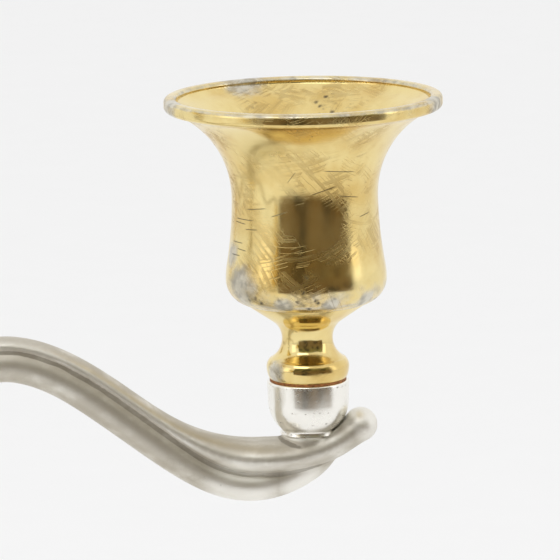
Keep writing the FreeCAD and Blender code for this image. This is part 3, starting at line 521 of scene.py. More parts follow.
def gilding(name, worn_points=(), worn_heights=(), pitted_points=(), cuts=(), shine=0.13, scratch=0.5,
            edge_wear=0.5):
    """Gilding with worn patches on edges and near some points or heights, and pits near some points."""
    material, tree, shader = new_material(name, Metallic=1.0)
    place = place_of(tree)
    height = add(tree, "ShaderNodeSeparateXYZ", {0: place}).outputs[2]
    tone = add(tree, "ShaderNodeTexNoise", {"Vector": place, "Scale": 95.0, "Detail": 5.0, "Roughness": 0.6})
    gold = blend_colour(tree, ramp(tree, tone.outputs[0], 0.35, 0.7), GOLD, DEEP_GOLD)
    proud = ramp(tree, relief_mask(tree), -0.02, -0.22)
    masks = [strongest(tree, proud, edge_wear)]
    masks += [strongest(tree, near_point(tree, place, p, reach), 0.9) for p, reach in worn_points]
    masks += [strongest(tree, near(tree, height, z * MM, reach * MM), 0.62) for z, reach in worn_heights]
    worn = use(tree, ragged, Vector=place, Mask=largest(tree, *masks), Raggedness=0.75)["Mask"]
    mottle = add(tree, "ShaderNodeTexNoise", {"Vector": place, "Scale": 620.0, "Detail": 5.0}).outputs[0]
    silvered = blend_colour(tree, ramp(tree, mottle, 0.4, 0.66), WORN_SILVER, WORN_GREY)
    colour = blend_colour(tree, strongest(tree, worn, 0.88), gold, silvered)
    spots = use(tree, pits, Vector=place, Cover=0.36, Size=0.22)["Mask"]
    if pitted_points:
        close = largest(tree, *[near_point(tree, place, p, reach) for p, reach in pitted_points])
        crowd = use(tree, pits, Vector=place, Scale=620.0, Size=0.4, Cover=0.62)["Mask"]
        seed = strongest(tree, close, 0.5)
        blots = use(tree, ragged, Vector=place, Mask=seed, Scale=950.0, Raggedness=1.5)["Mask"]
        crowd = math_node(tree, "MULTIPLY", crowd, ramp(tree, close, 0.15, 0.5))
        spots = largest(tree, spots, crowd, strongest(tree, blots, 0.8))
    if cuts:
        spots = largest(tree, spots, *[deep_scratch(tree, place, *cut_line) for cut_line in cuts])
    colour = blend_colour(tree, strongest(tree, spots, 0.85), colour, CHARCOAL)
    lines = use(tree, scratches, Vector=place, Cover=scratch)["Lines"]
    dark_lines = strongest(tree, lines, 0.3)
    tree.links.new(blend_colour(tree, dark_lines, colour, SCRATCH_BROWN), shader.inputs["Base Color"])
    smudge = add(tree, "ShaderNodeTexNoise", {"Vector": place, "Scale": 240.0, "Detail": 5.0})
    rough = ramp(tree, smudge.outputs[0], 0.3, 0.75, shine, shine + 0.12)
    for mask, share in ((lines, 0.18), (worn, 0.16), (spots, 0.4)):
        rough = math_node(tree, "ADD", rough, strongest(tree, mask, share))
    tree.links.new(rough, shader.inputs["Roughness"])
    surface = use(tree, waver, Vector=place, Broad=1.0, Fine=0.05, Rings=0.05)["Height"]
    dents = math_node(tree, "ADD", strongest(tree, lines, -0.3), strongest(tree, spots, -0.25))
    bumped(tree, shader, math_node(tree, "ADD", surface, dents), 0.045)
    return material


cup_gilt = gilding(
    "gilt_cup",
    worn_points=[((-11.0, -8.0, 17.5), 8.0), ((-12.8, -4.0, 22.5), 5.0), ((-4.0, -12.6, 14.6), 4.5),
                 ((4.0, -12.4, 14.6), 4.0), ((10.0, -8.5, 14.8), 4.5), ((-22.5, -6.0, 47.6), 8.0),
                 ((22.0, -7.0, 47.4), 7.0), ((-11.0, 20.5, 48.6), 9.0)],
    worn_heights=[(48.7, 0.8), (14.4, 1.1)],
    pitted_points=[((-0.5, -13.4, 15.6), 3.6), ((3.4, -12.8, 15.4), 3.2), ((-4.2, -12.7, 15.8), 2.6),
                   ((-9.0, -10.3, 15.8), 3.0), ((4.5, 17.0, 43.6), 5.0), ((9.0, 15.5, 43.8), 4.0),
                   ((-9.0, 15.6, 43.4), 4.0), ((0.0, -13.6, 20.0), 1.6)],
    scratch=0.57,
    cuts=[((-8.4, -9.3, 31.0), 5.0, 0.16), ((-10.4, -7.0, 28.9), 6.0, 0.05),
          ((-11.0, -6.0, 28.2), 4.0, -0.04), ((-9.2, -8.6, 27.4), 3.4, 0.1),
          ((-11.5, -5.6, 24.8), 4.0, 0.06), ((-10.8, -6.9, 23.7), 3.2, -0.08),
          ((-11.9, -5.4, 22.6), 3.6, 0.1), ((-4.5, -11.8, 30.4), 3.4, 0.35),
          ((3.0, -12.4, 34.4), 5.0, 0.3), ((7.4, -10.3, 33.0), 5.0, -0.2),
          ((-2.2, -12.9, 37.0), 3.0, 1.4), ((6.0, -12.5, 37.6), 7.0, -0.12),
          ((10.5, -8.0, 29.6), 3.6, 0.25)],
)
foot_wear = [((-5.8, -4.0, 1.6), 4.6)]
foot_gilt = gilding("gilt_foot", worn_points=foot_wear, shine=0.09, scratch=0.42, edge_wear=0.1)
column_gilt = gilding("gilt_column", worn_heights=[(7.5, 1.4)], shine=0.12, scratch=0.42)

# %% [markdown]
# Silver plate tarnishes to a warm grey-brown, darkest in the hollows, and is bright where it is
# rubbed. One function makes both silvers: the turned pieces are smooth and bright, and the cast arms
# are greyer with a satin, slightly lumpy skin. On the arms, bright patches round a few given points,
# on the lower lobe and on the tip, are painted highlights.

# %% Silver plate

BRIGHT_SILVER, DULL_SILVER = (0.94, 0.92, 0.86, 1), (0.58, 0.54, 0.46, 1)
TARNISH = (0.11, 0.085, 0.06, 1)
RING_RATE = 3000.0


def silver(name, dullness, shine, lumps=0.05, ring_lines=0.0, pit_cover=0.36, hollow_tarnish=0.78,
           highlight_points=()):
    """Silver plate. Dullness sets how far it has gone from bright to grey. Proud edges are rubbed bright, and
    patches round the highlight points are painted highlights.
    """
    material, tree, shader = new_material(name, Metallic=1.0)
    place, relief = place_of(tree), relief_mask(tree)
    settings = {"Vector": place, "Scale": 120.0, "Detail": 6.0, "Roughness": 0.62}
    tone = add(tree, "ShaderNodeTexNoise", settings)
    streak = add(tree, "ShaderNodeMapping", {"Vector": place, "Scale": (0.35, 1.0, 1.0)})
    streaks = add(tree, "ShaderNodeTexNoise", {"Vector": streak.outputs[0], "Scale": 420.0, "Detail": 4.0})
    cloud = shared(tree, tone.outputs[0], 0.6, streaks.outputs[0], 0.4)
    dull = ramp(tree, cloud, 0.62 - dullness * 0.5, 0.95 - dullness * 0.5)
    colour = blend_colour(tree, dull, BRIGHT_SILVER, DULL_SILVER)
    rubbed_and_highlit = strongest(tree, ramp(tree, relief, -0.03, -0.25), 0.8)
    # Bright patches round the given points are painted highlights, not rubbed wear.
    if highlight_points:
        close = largest(tree, *[near_point(tree, place, point, reach) for point, reach in highlight_points])
        highlight_patch = use(tree, ragged, Vector=place, Mask=close, Scale=240.0, Raggedness=0.5)["Mask"]
        rubbed_and_highlit = largest(tree, rubbed_and_highlit, strongest(tree, highlight_patch, 0.92))
    colour = blend_colour(tree, rubbed_and_highlit, colour, BRIGHT_SILVER)
    sunken = ramp(tree, relief, 0.01, 0.16)
    hollow = use(tree, ragged, Vector=place, Mask=sunken, Scale=700.0, Raggedness=0.5)["Mask"]
    colour = blend_colour(tree, strongest(tree, hollow, hollow_tarnish), colour, TARNISH)
    spots = use(tree, pits, Vector=place, Scale=700.0, Size=0.26, Cover=pit_cover)["Mask"]
    if ring_lines:
        height = add(tree, "ShaderNodeSeparateXYZ", {0: place}).outputs[2]
        rings = math_node(tree, "SINE", math_node(tree, "MULTIPLY", height, RING_RATE))
        crowd = use(tree, pits, Vector=place, Scale=1300.0, Size=0.5, Cover=0.6)["Mask"]
        dotted = math_node(tree, "MULTIPLY", ramp(tree, rings, 0.75, 1.0), crowd)
        spots = largest(tree, spots, strongest(tree, dotted, ring_lines))
    colour = blend_colour(tree, strongest(tree, spots, 0.7), colour, TARNISH)
    tree.links.new(colour, shader.inputs["Base Color"])
    lines = use(tree, scratches, Vector=place, Cover=0.5)["Lines"]
    rough = ramp(tree, cloud, 0.3, 0.7, shine, shine + 0.12)
    for mask, share in ((lines, 0.12), (hollow, 0.3), (spots, 0.3)):
        rough = math_node(tree, "ADD", rough, strongest(tree, mask, share))
    tree.links.new(rough, shader.inputs["Roughness"])
    surface = use(tree, waver, Vector=place, Broad=0.8, Fine=lumps, Rings=0.03)["Height"]
    dents = math_node(tree, "ADD", strongest(tree, lines, -0.08), strongest(tree, spots, -0.2))
    bumped(tree, shader, math_node(tree, "ADD", surface, dents), 0.06)
    return material


turned_silver = silver("silver_turned", dullness=0.22, shine=0.19, ring_lines=0.8)
stand_silver = silver("silver_stand", dullness=0.5, shine=0.17, ring_lines=0.3)
# The arm's bright patches, on the lower lobe and on the tip, are painted highlights.
cast_silver = silver(
    "silver_cast", dullness=0.8, shine=0.47, lumps=0.12, hollow_tarnish=0.22,
    highlight_points=[((-12.0, -4.0, -19.5), 13.0), ((-1.0, -4.0, -19.0), 9.0), ((9.0, -1.0, -7.0), 7.0)],
)

# %% [markdown]
# The pieces inside and underneath have humbler finishes: bare brass with turning rings, zinc-plated
# steel with a spangle, rough cast iron, hard red-brown fibre for the washers, and felt. The loaded
# CAD pieces have no place attribute, so these read Object coordinates.

# %% Workshop finishes
FIBRE_LIGHT, FIBRE_DARK = (0.42, 0.15, 0.03, 1), (0.16, 0.055, 0.015, 1)
FELT_DARK, FELT_LIGHT = (0.035, 0.10, 0.055, 1), (0.075, 0.19, 0.11, 1)


def object_place(tree):
    return add(tree, "ShaderNodeTexCoord").outputs["Object"]


def workshop_metal(name, light, dark, shine, ring_share, grain):
    """A plain machined metal: colour varies with a grain, and turning rings show in the bump."""
    material, tree, shader = new_material(name, Metallic=1.0)
    place = object_place(tree)
    cells = add(tree, "ShaderNodeTexVoronoi", {"Vector": place, "Scale": grain}, feature="F1").outputs[1]
    value = add(tree, "ShaderNodeSeparateXYZ", {0: cells}).outputs[0]
    noise = add(tree, "ShaderNodeTexNoise", {"Vector": place, "Scale": grain * 0.3, "Detail": 5.0}).outputs[0]
    mix = shared(tree, value, 0.4, noise, 0.6)
    tree.links.new(blend_colour(tree, ramp(tree, mix, 0.2, 0.8), light, dark), shader.inputs["Base Color"])
    tree.links.new(ramp(tree, noise, 0.3, 0.7, shine, shine + 0.15), shader.inputs["Roughness"])
    surface = use(tree, waver, Vector=place, Broad=0.2, Fine=0.2, Rings=ring_share)["Height"]
    bumped(tree, shader, surface, 0.05)
    return material


bare_brass = workshop_metal("brass_bare", (0.74, 0.56, 0.27, 1), (0.50, 0.34, 0.14, 1), 0.22, 0.5, 600.0)
zinc_steel = workshop_metal("steel_zinc", (0.62, 0.63, 0.65, 1), (0.42, 0.43, 0.45, 1), 0.3, 0.1, 900.0)
rough_iron = workshop_metal("iron_cast", (0.16, 0.16, 0.16, 1), (0.08, 0.075, 0.07, 1), 0.6, 0.0, 400.0)


def make_fibre():
    material, tree, shader = new_material("fibre_washer", Specular_IOR_Level=0.35)
    place = object_place(tree)
    noise = add(tree, "ShaderNodeTexNoise", {"Vector": place, "Scale": 1800.0, "Detail": 6.0}).outputs[0]
    colour = blend_colour(tree, ramp(tree, noise, 0.3, 0.7), FIBRE_LIGHT, FIBRE_DARK)
    tree.links.new(colour, shader.inputs["Base Color"])
    tree.links.new(ramp(tree, noise, 0.3, 0.7, 0.5, 0.75), shader.inputs["Roughness"])
    bumped(tree, shader, noise, 0.03)
    return material


def make_felt():
    material, tree, shader = new_material(
        "felt_green", Sheen_Weight=0.6, Sheen_Roughness=0.5, Specular_IOR_Level=0.1)
    place = object_place(tree)
    settings = {"Vector": place, "Scale": 2400.0, "Detail": 8.0, "Distortion": 1.4}
    fibres = add(tree, "ShaderNodeTexNoise", settings)
    clumps = add(tree, "ShaderNodeTexNoise", {"Vector": place, "Scale": 160.0, "Detail": 3.0})
    mix = shared(tree, fibres.outputs[0], 0.7, clumps.outputs[0], 0.3)
    colour = blend_colour(tree, ramp(tree, mix, 0.3, 0.7), FELT_DARK, FELT_LIGHT)
    tree.links.new(colour, shader.inputs["Base Color"])
    tree.links.new(ramp(tree, mix, 0.3, 0.7, 0.85, 1.0), shader.inputs["Roughness"])
    bumped(tree, shader, fibres.outputs[0], 0.25)
    return material


fibre = make_fibre()
felt = make_felt()
print("finishes:", [m.name for m in bpy.data.materials])

# %% [markdown]
# ## One light
# ### The cup
# The cup is spun from sheet: a round belly, a straight waist that grips the candle, and a flared
# mouth that ends in a flat lip with a groove inside it. Spinning an outline is how the real one is
# made, and it gives true round reflections.

# %% The cup's shell

east = seats["east"]
cup_foot_place = east + Vector((0, 0, WASHER_THICKNESS))
STUD = 2.45

cup_corners = [
    (STUD, 13.3), (10.6, 13.3), (13.8, 17.4, 4.3), (13.55, 20.0, 13.6), (12.5, 31.8, -66.8),
    (21.3, 46.21, -16.2), (22.9, 46.65), (23.7, 47.4, 0.8), (23.7, 48.2), (22.95, 49.0, 0.8), (22.2, 49.0),
    (21.62, 48.4, 0.7), (21.4, 47.7, -0.6), (20.9, 47.25), (11.5, 33.8, 14.4), (11.5, 23.8), (12.4, 18.1),
    (9.2, 14.9, -3.2), (STUD, 14.9), (STUD, 13.3),
]
cup = turned("gilt_cup_east", cup_corners, cup_foot_place, sides=144)
mark(cup, cup_foot_place)
print("cup:", len(cup.data.polygons), "faces")

# %% [markdown]
# ### The foot
# The foot is turned from bar: a ring to stand on, a narrow neck and a funnel up to the cup. A shallow
# groove parts the ring from the curve above it.

# %% The turned foot

foot_corners = [
    (STUD, 0), (6.55, 0), (6.75, 0.3), (7.12, 2.05, 5), (6.45, 3.5, 2.04), (6.1, 3.7, -0.5),
    (4.37, 7.0, -3.9), (5.94, 10.07, -3.8), (10.6, 13.3), (STUD, 13.3), (STUD, 0),
]
foot = turned("gilt_foot_east", foot_corners, cup_foot_place, sides=96, edge=0.1)
mark(foot, cup_foot_place)
print("foot:", len(foot.data.polygons), "faces")

# %% [markdown]
# ### The stud
# A real screw thread joins the cup to its bowl, and it shows when the cup is unscrewed. A V-shaped
# tooth is swept by the Screw modifier, capped, joined to a plain shank, and remeshed to one closed
# skin.

# %% The threaded stud

PITCH, THREAD_LENGTH, TOOTH, THREAD_START = 0.8, 5.6, 0.42, 0.25
CORE = STUD - TOOTH - 0.02
STUD_VOXEL = 0.11
low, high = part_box("cup_stud_east")
stud_place = foot_of("cup_stud_east")
stud_length = (high.z - low.z) / MM


def thread(place, radius, pitch, length, tooth):
    """A closed screw thread standing at a place."""
    outline = [Vector((radius - tooth, 0)), Vector((radius, pitch * 0.45)), Vector((radius, pitch * 0.55)),
               Vector((radius - tooth, pitch))]
    piece = start_outline("thread", place, outline)
    bpy.ops.object.mode_set(mode="OBJECT")
    bpy.context.scene.cursor.location = place
    bpy.ops.object.origin_set(type="ORIGIN_CURSOR")
    turns = int(length / pitch)
    apply(piece, "SCREW", axis="Z", screw_offset=pitch * MM, iterations=turns, steps=40, render_steps=40,
          use_merge_vertices=True, merge_threshold=0.001 * MM, use_normal_calculate=True)
    pick(piece)
    bpy.ops.object.mode_set(mode="EDIT")
    bpy.ops.mesh.select_all(action="SELECT")
    bpy.ops.mesh.fill_holes(sides=0)
    bpy.ops.mesh.normals_make_consistent(inside=False)
    bpy.ops.object.mode_set(mode="OBJECT")
    settle(piece)
    return piece


shank_corners = [
    (0, 0), (STUD - 0.75, 0), (CORE, 0.5), (CORE, THREAD_LENGTH + 0.4), (STUD, 6.6),
    (STUD, stud_length - 1.12), (4.3, stud_length - 1.1), (3.7, stud_length - 0.44, 1.2),
    (0.9, stud_length, 9), (0, stud_length),
]
stud = turned("stud_east", shank_corners, stud_place, sides=64, edge=0.08)
tooth = thread(stud_place + Vector((0, 0, THREAD_START * MM)), STUD, PITCH, THREAD_LENGTH, TOOTH)
pick(tooth)
stud.select_set(True)
bpy.context.view_layer.objects.active = stud
bpy.ops.object.join()
apply(stud, "REMESH", mode="VOXEL", voxel_size=STUD_VOXEL * MM)
apply(stud, "SMOOTH", factor=0.5, iterations=2)
smooth(stud, math.radians(60))
print("stud:", len(stud.data.polygons), "faces")

# %% [markdown]
# ### The washer and the bowl
# The washer is a thin hard fibre ring. The bowl is turned, with a tenon that is soldered into the arm
# and a hole in its flat top for the stud. The hole gets a few turning grooves that stand for the
# thread inside it.

# %% The washer and the bowl

washer_corners = [(2.6, 0), (6.6, 0), (6.6, 0.35), (2.6, 0.35), (2.6, 0)]
washer = turned("washer_east", washer_corners, seats["east"], sides=72, edge=0.06)
washer_count = len(washer.data.polygons)

HOLE_RADIUS, GROOVE_RADIUS, GROOVES, THREAD_TOP, HOLE_FLOOR = 2.5, 2.62, 7, 11.15, 4.9
bowl_place = foot_of("bowl_east")
bowl_corners = [
    (0, 0), (2.6, 0), (2.6, 2.2), (5.0, 2.2), (4.8, 3.0, -1.6), (6.95, 7.9, 6.65), (7.05, 11.1),
    (6.65, 11.5, 0.4), (2.85, 11.5), (HOLE_RADIUS, THREAD_TOP),
]
for groove in range(GROOVES):
    top = THREAD_TOP - groove * PITCH
    bowl_corners += [(GROOVE_RADIUS, top - PITCH * 0.5), (HOLE_RADIUS, top - PITCH)]
bowl_corners += [(HOLE_RADIUS, HOLE_FLOOR), (0, HOLE_FLOOR)]
bowl = turned("bowl_east", bowl_corners, bowl_place, sides=96, edge=0.1)
mark(bowl, bowl_place)
print("washer:", washer_count, "faces; bowl:", len(bowl.data.polygons), "faces")

# %% [markdown]
# ### Setting out the five lights
# One set is finished. Each copy has its own mesh, turned with its arm and moved to its seat. Each cup
# carries its marks with it, so all five show the same wear.

# %% Copies for every light


def fit_light(light, parts):
    cup_piece, foot_piece, stud_piece, washer_piece, bowl_piece = parts
    fit(cup_piece, f"cup_{light}", "gilt", cup_gilt, f"cup_shell_{light}")
    fit(foot_piece, f"cup_{light}", "gilt", foot_gilt, f"cup_foot_{light}")
    fit(stud_piece, f"cup_{light}", "bare_brass", bare_brass, f"cup_stud_{light}")
    fit(washer_piece, f"cup_washer_{light}", "fibre", fibre, f"cup_washer_{light}")
    fit(bowl_piece, "branches", "silver_plate", turned_silver, f"bowl_{light}")


one_light = [cup, foot, stud, washer, bowl]
CENTRE_TURN = math.radians(40)
for number, light in enumerate(LIGHTS[1:], start=1):
    turn = CENTRE_TURN if light == "centre" else number * QUARTER_TURN
    arm_turn = Matrix.Rotation(turn, 3, "Z")
    shift = seats[light] - arm_turn @ seats["east"]
    names = [piece.name.replace("east", light) for piece in one_light]
    fit_light(light, [copied(piece, name, turn, shift) for piece, name in zip(one_light, names)])
fit_light("east", one_light)
print("lights fitted:", LIGHTS)

# %% [markdown]
# ## The arms
# Each arm is a casting: an upper strand that widens into a saddle under the bowl and curls up as the
# tip, and a deeper body whose tail tucks in below. The engineering model already has both as lofts. A
# merged copy is remeshed fine and relaxed, which softens the crease and the joints as casting and
# polishing do.

# %% The cast arm

VOXEL = 0.3


def cast_from(node, name):
    """A cast-looking skin over a copy of a node."""
    pick(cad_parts[node])
    bpy.ops.object.duplicate(linked=False)
    piece = bpy.context.object
    piece.name = name
    piece.parent = None
    piece.data.name = name
    for key in list(piece.keys()):
        del piece[key]
    bpy.ops.object.mode_set(mode="EDIT")
    bpy.ops.mesh.select_all(action="SELECT")
    bpy.ops.mesh.remove_doubles(threshold=0.001 * MM)
    bpy.ops.object.mode_set(mode="OBJECT")
    apply(piece, "REMESH", mode="VOXEL", voxel_size=VOXEL * MM)
    apply(piece, "SMOOTH", factor=0.5, iterations=14)
    smooth(piece, math.radians(75))
    return piece


arm = cast_from("arm_east", "silver_arm_east")
mark(arm, seats["east"], rounds=2)
print("arm:", len(arm.data.polygons), "faces")
for number, name in enumerate(ARMS[1:], start=1):
    copy = copied(arm, f"silver_arm_{name}", number * QUARTER_TURN, Vector())
    fit(copy, "branches", "silver_plate", cast_silver, f"arm_{name}")
fit(arm, "branches", "silver_plate", cast_silver, "arm_east")

# %% [markdown]
# ## The branch unit's middle
# The arms screw into a hub. Its blank is turned like the rest. A square chamber, four holes and four
# flat seats are then cut into it, so that the arms' threaded ends and nuts have room inside.

# %% Cutting into a turned piece


def cut(piece, tool):
    """Cuts a tool out of a piece and throws the tool away."""
    apply(piece, "BOOLEAN", object=tool, operation="DIFFERENCE", solver="EXACT")
    pick(tool)
    bpy.ops.object.delete()


def drilled(piece, start, direction, radius, length):
    """A round hole from a start, along a direction. Sizes are in millimetres."""
    let_go()
    middle = start + direction * length * MM / 2
    turn = direction.to_track_quat("Z", "Y").to_euler()
    bpy.ops.mesh.primitive_cylinder_add(vertices=64, radius=radius * MM, depth=length * MM, location=middle,
                                        rotation=turn)
    cut(piece, bpy.context.object)


# %% The hub
HUB_HEIGHT, HUB_FLAT = 24.0, 12.6
CHAMBER_HALF, CHAMBER_CORNER, CHAMBER_FLOOR = 8.5, 3.0, 2.5
SPOT_FACE_RADIUS, ARM_THREAD_RADIUS, HOLE_START, HOLE_LENGTH = 6.5, 2.45, 6, 8
hub_place = foot_of("hub")
hub_corners = [
    (3.1, 0), (13.1, 0), (13.1, 3, 1.5), (13.6, 4.2, -2), (13.6, 19.8), (13.1, 21, -2), (13.1, 24, 1.5),
    (11.6, 24), (11.6, 21.4), (3.1, 21.4), (3.1, 0),
]
hub = turned("silver_hub", hub_corners, hub_place, sides=112)
let_go()
chamber_height = HUB_HEIGHT - CHAMBER_FLOOR
chamber_middle = hub_place + Vector((0, 0, CHAMBER_FLOOR + chamber_height / 2 + 0.5)) * MM
bpy.ops.mesh.primitive_cube_add(size=MM, location=chamber_middle,
                                scale=(CHAMBER_HALF * 2, CHAMBER_HALF * 2, chamber_height + 1))
chamber = bpy.context.object
settle(chamber)
apply(chamber, "BEVEL", width=CHAMBER_CORNER * MM, segments=6, limit_method="ANGLE")
cut(hub, chamber)
hub_middle = hub_place + Vector((0, 0, HUB_HEIGHT / 2 * MM))
for number in range(4):
    direction = Matrix.Rotation(number * QUARTER_TURN, 3, "Z") @ Vector((1, 0, 0))
    drilled(hub, hub_middle + direction * HUB_FLAT * MM, direction, SPOT_FACE_RADIUS, HOLE_LENGTH)
    drilled(hub, hub_middle + direction * HOLE_START * MM, direction, ARM_THREAD_RADIUS, HOLE_LENGTH)
smooth(hub)
mark(hub, hub_place, rounds=1)
fit(hub, "branches", "silver_plate", stand_silver, "hub")
print("hub:", len(hub.data.polygons), "faces")

# %% [markdown]
# ## Turned pieces of the stand and the middle
# Every other visible piece is turned or spun too. The table gives each one's name, body, slot, finish
# and outline. The heights in an outline are measured from the piece's own foot.

# %% Outlines of the middle and the column

turnings = [
    ("hub_cap", "branches", "gilt", column_gilt, [
        (3.1, 0), (11.5, 0), (11.5, 2.6), (13, 2.6), (13, 4.6, 1), (8, 6, -6), (5.6, 9.6, -7),
        (3.1, 9.6), (3.1, 0)]),
    ("centre_stem", "branches", "silver_plate", stand_silver, [
        (0, 10), (2.95, 10), (2.95, 0), (6, 0), (7.8, 3, 3.2), (5.8, 6.2, 3.2), (5, 7.2), (4.2, 13.64, -18),
        (7.2, 30.2, -60), (5.2, 37, 8), (3.7, 41.9, -9), (5.4, 46.7, -7), (5.1, 48.7, 2.4), (2.6, 48.7),
        (2.6, 46.5), (0, 46.5)]),
    ("branch_plug", "branches", "bare_brass", bare_brass, [
        (8, 0), (10.12, 0), (11.12, 2), (11.12, 22.5), (13.05, 22.5), (13.05, 26, 1.75), (3.1, 26), (3.1, 8),
        (8, 8), (8, 0)]),
    ("seat_washer", "seat_washer", "fibre", fibre, [
        (11.28, 0), (12.6, 0), (12.6, 0.49), (11.28, 0.49), (11.28, 0)]),
    ("column_socket", "stand", "silver_plate", stand_silver, [
        (0, 12), (2.95, 12), (2.95, 0), (6.6, 0), (6, 2.6, -5), (11.7, 14.6, -9.5), (14, 18.2, 4.2),
        (13.1, 26.5, -40), (16.1, 37.2, -15), (16.1, 39, 0.9), (11.2, 39), (11.2, 14), (0, 14)]),
    ("upper_knop", "stand", "gilt", column_gilt, [
        (3.1, 0), (7.6, 0), (7.6, 0.8), (10.6, 4.5, 4.3), (7, 8.2, 4.6), (7, 9), (3.1, 9), (3.1, 0)]),
    ("column_shaft", "stand", "silver_plate", stand_silver, [
        (3.1, 0), (10.6, 0), (10.6, 2.4, 1.2), (9, 3.4, -2), (6.4, 16.1, -16.1), (10.4, 40.9, -74.4),
        (10.6, 50.8, 6.4), (7, 55.8, -9), (6.8, 59.8, -7), (8.4, 60.9, 1.7), (7.6, 62, 1.7),
        (3.1, 62), (3.1, 0)]),
    ("lower_knop", "stand", "gilt", column_gilt, [
        (3.1, 0), (8.4, 0), (8.4, 1.2), (10, 2.4, -1.6), (15.5, 7.5, 6.4), (10, 12.6, 6.4), (8.4, 13.8, -1.6),
        (8.4, 15), (3.1, 15), (3.1, 0)]),
    ("base_collar", "stand", "silver_plate", stand_silver, [
        (3.1, 0), (12.7, 0), (12.7, 3, 1.5), (9.6, 3.8, -8), (8.4, 6, -4), (3.1, 6), (3.1, 0)]),
]

# %% Outlines of the base
turnings += [
    ("base_shell", "stand", "silver_plate", stand_silver, [
        (61.2, 0), (64.2, 0), (66, 1.8, 1.8), (66, 2.8), (64.2, 4.6, 1.8), (62.6, 4.6), (62.6, 5.6),
        (48, 8.8, -60), (48, 10.6), (46.4, 12.2, 1.6), (34, 20.2, 22), (11.5, 36.2, -26), (3.1, 36.2),
        (3.1, 34.8), (10.1, 34.8), (32.6, 18.8, 26), (45.2, 11.2, -22), (46.6, 10.04), (46.6, 7.4),
        (61.2, 4.4, 60), (61.2, 0)]),
    ("base_plate", "stand", "steel", zinc_steel, [(0, 0), (60.95, 0), (60.95, 1.0), (0, 1.0)]),
    ("felt_pad", "stand", "felt", felt, [(0, 0), (60.95, 0), (60.95, 1.6), (0, 1.6)]),
]

# %% Turning them
WIDE, WIDE_SIDES, SIDES = 40, 160, 112
for node, body, slot, finish, corners in turnings:
    place = foot_of(node)
    piece = turned(f"made_{node}", corners, place, sides=WIDE_SIDES if corners[1][0] > WIDE else SIDES)
    mark(piece, place)
    fit(piece, body, slot, finish, node)
    print(node, len(piece.data.polygons), "faces")

# %% [markdown]
# The pieces that nobody sees, inside the base, the column and the hub, stay as the engineering model
# has them. They only get their metals.

# %% Hidden pieces
STEEL_NODES = ("base_washer", "base_nut", "tie_rod", "branch_nut", "branch_rod", "arm_nuts")
hidden = [(node, zinc_steel) for node in STEEL_NODES] + [("base_weight", rough_iron)]
for node, metal in hidden:
    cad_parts[node].data.materials.clear()
    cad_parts[node].data.materials.append(metal)

# %% [markdown]
# ## The studio
# A plain pale floor runs past the edge of the view. A large soft light hangs overhead and in front, a
# weaker one fills from each side, and the pale world does the rest. Polished metal looks like what it
# reflects, so two dark cards stand in front and to the right, where the camera doesn't see them but
# the cup does.

# %% Floor, world and lights


def plain_material(name, colour, roughness):
    material, tree, shader = new_material(name, Roughness=roughness)
    grain = add(tree, "ShaderNodeTexNoise", {"Vector": object_place(tree), "Scale": 40.0}).outputs[0]
    darker = tuple(c * 0.985 for c in colour[:3]) + (1,)
    tree.links.new(blend_colour(tree, grain, colour, darker), shader.inputs["Base Color"])
    return material


let_go()
bpy.ops.mesh.primitive_plane_add(size=16, location=(0, 3, 0))
floor = bpy.context.object
floor.name = "floor"
settle(floor)
floor.data.materials.append(plain_material("floor_paper", (0.92, 0.92, 0.92, 1), 0.9))

world = bpy.context.scene.world or bpy.data.worlds.new("studio")
bpy.context.scene.world = world
world.use_nodes = True
world.node_tree.nodes["Background"].inputs["Color"].default_value = (1.0, 1.0, 1.0, 1)
world.node_tree.nodes["Background"].inputs["Strength"].default_value = 0.955


def soft_light(name, place, aim, width, height, power):
    bpy.ops.object.light_add(type="AREA", location=place)
    light = bpy.context.object
    light.name = name
    light.data.shape = "RECTANGLE"
    light.data.size, light.data.size_y = width, height
    light.data.energy = power
    light.rotation_euler = (Vector(aim) - Vector(place)).to_track_quat("-Z", "Y").to_euler()
    light.visible_camera = False


soft_light("overhead", (-0.3, -0.9, 1.5), (0.1, 0, 0.2), 1.0, 0.6, 3)
soft_light("left_fill", (-1.3, -0.7, 0.7), (0.1, 0, 0.23), 0.5, 1.0, 0.9)
soft_light("right_fill", (1.5, -0.3, 0.7), (0.1, 0, 0.23), 0.4, 1.0, 0.8)

# %% The dark cards
# The cards' colours are painted reflection: the polished metal shows their olive, brown and dark blotches as
# its surroundings.
REFLECTED_SHADE_BROWN, REFLECTED_SHADE_OLIVE = (0.19, 0.135, 0.075, 1), (0.25, 0.25, 0.10, 1)
REFLECTED_SHADE_BLOTCH = (0.035, 0.03, 0.018, 1)
CARD_HEIGHT = 0.72


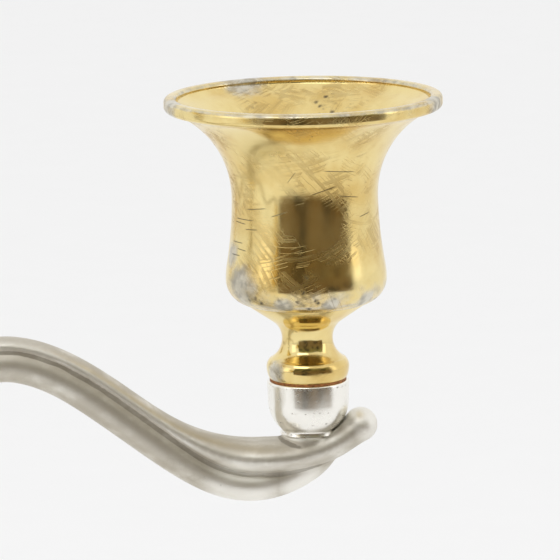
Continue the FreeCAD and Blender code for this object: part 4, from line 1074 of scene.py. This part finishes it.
def make_reflected_shade_finish():
    """Painted reflection: a mottled dark finish, olive at the top and brown lower down, that the metal shows
    as its dark surroundings.
    """
    material, tree, shader = new_material("card_cloth", Roughness=0.9)
    place = object_place(tree)
    height = add(tree, "ShaderNodeSeparateXYZ", {0: place}).outputs[2]
    reflected_tone = blend_colour(tree, ramp(tree, height, 0.2, 0.75), REFLECTED_SHADE_BROWN, REFLECTED_SHADE_OLIVE)
    noise = add(tree, "ShaderNodeTexNoise", {"Vector": place, "Scale": 6.0, "Detail": 5.0}).outputs[0]
    mottled = blend_colour(tree, ramp(tree, noise, 0.42, 0.66), reflected_tone, REFLECTED_SHADE_BLOTCH)
    tree.links.new(mottled, shader.inputs["Base Color"])
    return material


reflected_shade_finish = make_reflected_shade_finish()


def dark_card(name, start, end, top):
    """An upright card between two floor points, out of the camera's sight."""
    start, end = Vector(start), Vector(end)
    let_go()
    bpy.ops.mesh.primitive_plane_add(size=1, location=(0, 0, 0))
    card = bpy.context.object
    card.name = name
    run = end - start
    turn = math.atan2(run.y, run.x)
    upright = Matrix.Rotation(turn, 4, "Z") @ Matrix.Rotation(math.pi / 2, 4, "X")
    middle = ((start + end) / 2).to_3d() + Vector((0, 0, top / 2))
    card.matrix_world = Matrix.Translation(middle) @ upright @ Matrix.Diagonal((run.length, top, 1, 1))
    settle(card)
    card.data.materials.append(reflected_shade_finish)
    card.visible_camera = False
    card.visible_shadow = False
    card.visible_diffuse = False


dark_card("card_front", (-0.36, -0.55), (0.58, -0.55), CARD_HEIGHT)
dark_card("card_right", (0.58, -0.55), (0.80, -0.25), CARD_HEIGHT)

# %% [markdown]
# The camera looks at the east light from the front, a little above it, through a long lens, so the
# cup and the end of its arm fill the view.

# %% The camera

LENS, DISTANCE, ELEVATION, ROLL = 278.0, 0.74, math.radians(10.7), math.radians(-1.1)
AIM_OFFSET = (-4.5, 0, 17.4)
aim = seats["east"] + Vector(AIM_OFFSET) * MM
back = Vector((0, -math.cos(ELEVATION), math.sin(ELEVATION)))
bpy.ops.object.camera_add(location=aim + back * DISTANCE)
camera = bpy.context.object
camera.data.lens = LENS
camera.data.clip_start, camera.data.clip_end = 0.02, 40
camera.rotation_euler = (
    (-back).to_track_quat("-Z", "Y").to_matrix() @ Matrix.Rotation(ROLL, 3, "Z")).to_euler()
bpy.context.scene.camera = camera
bpy.context.scene.view_settings.view_transform = "Standard"
bpy.context.scene.view_settings.look = "None"

# %% [markdown]
# ## Finishing

# %% A last update of the scene
bpy.context.view_layer.update()
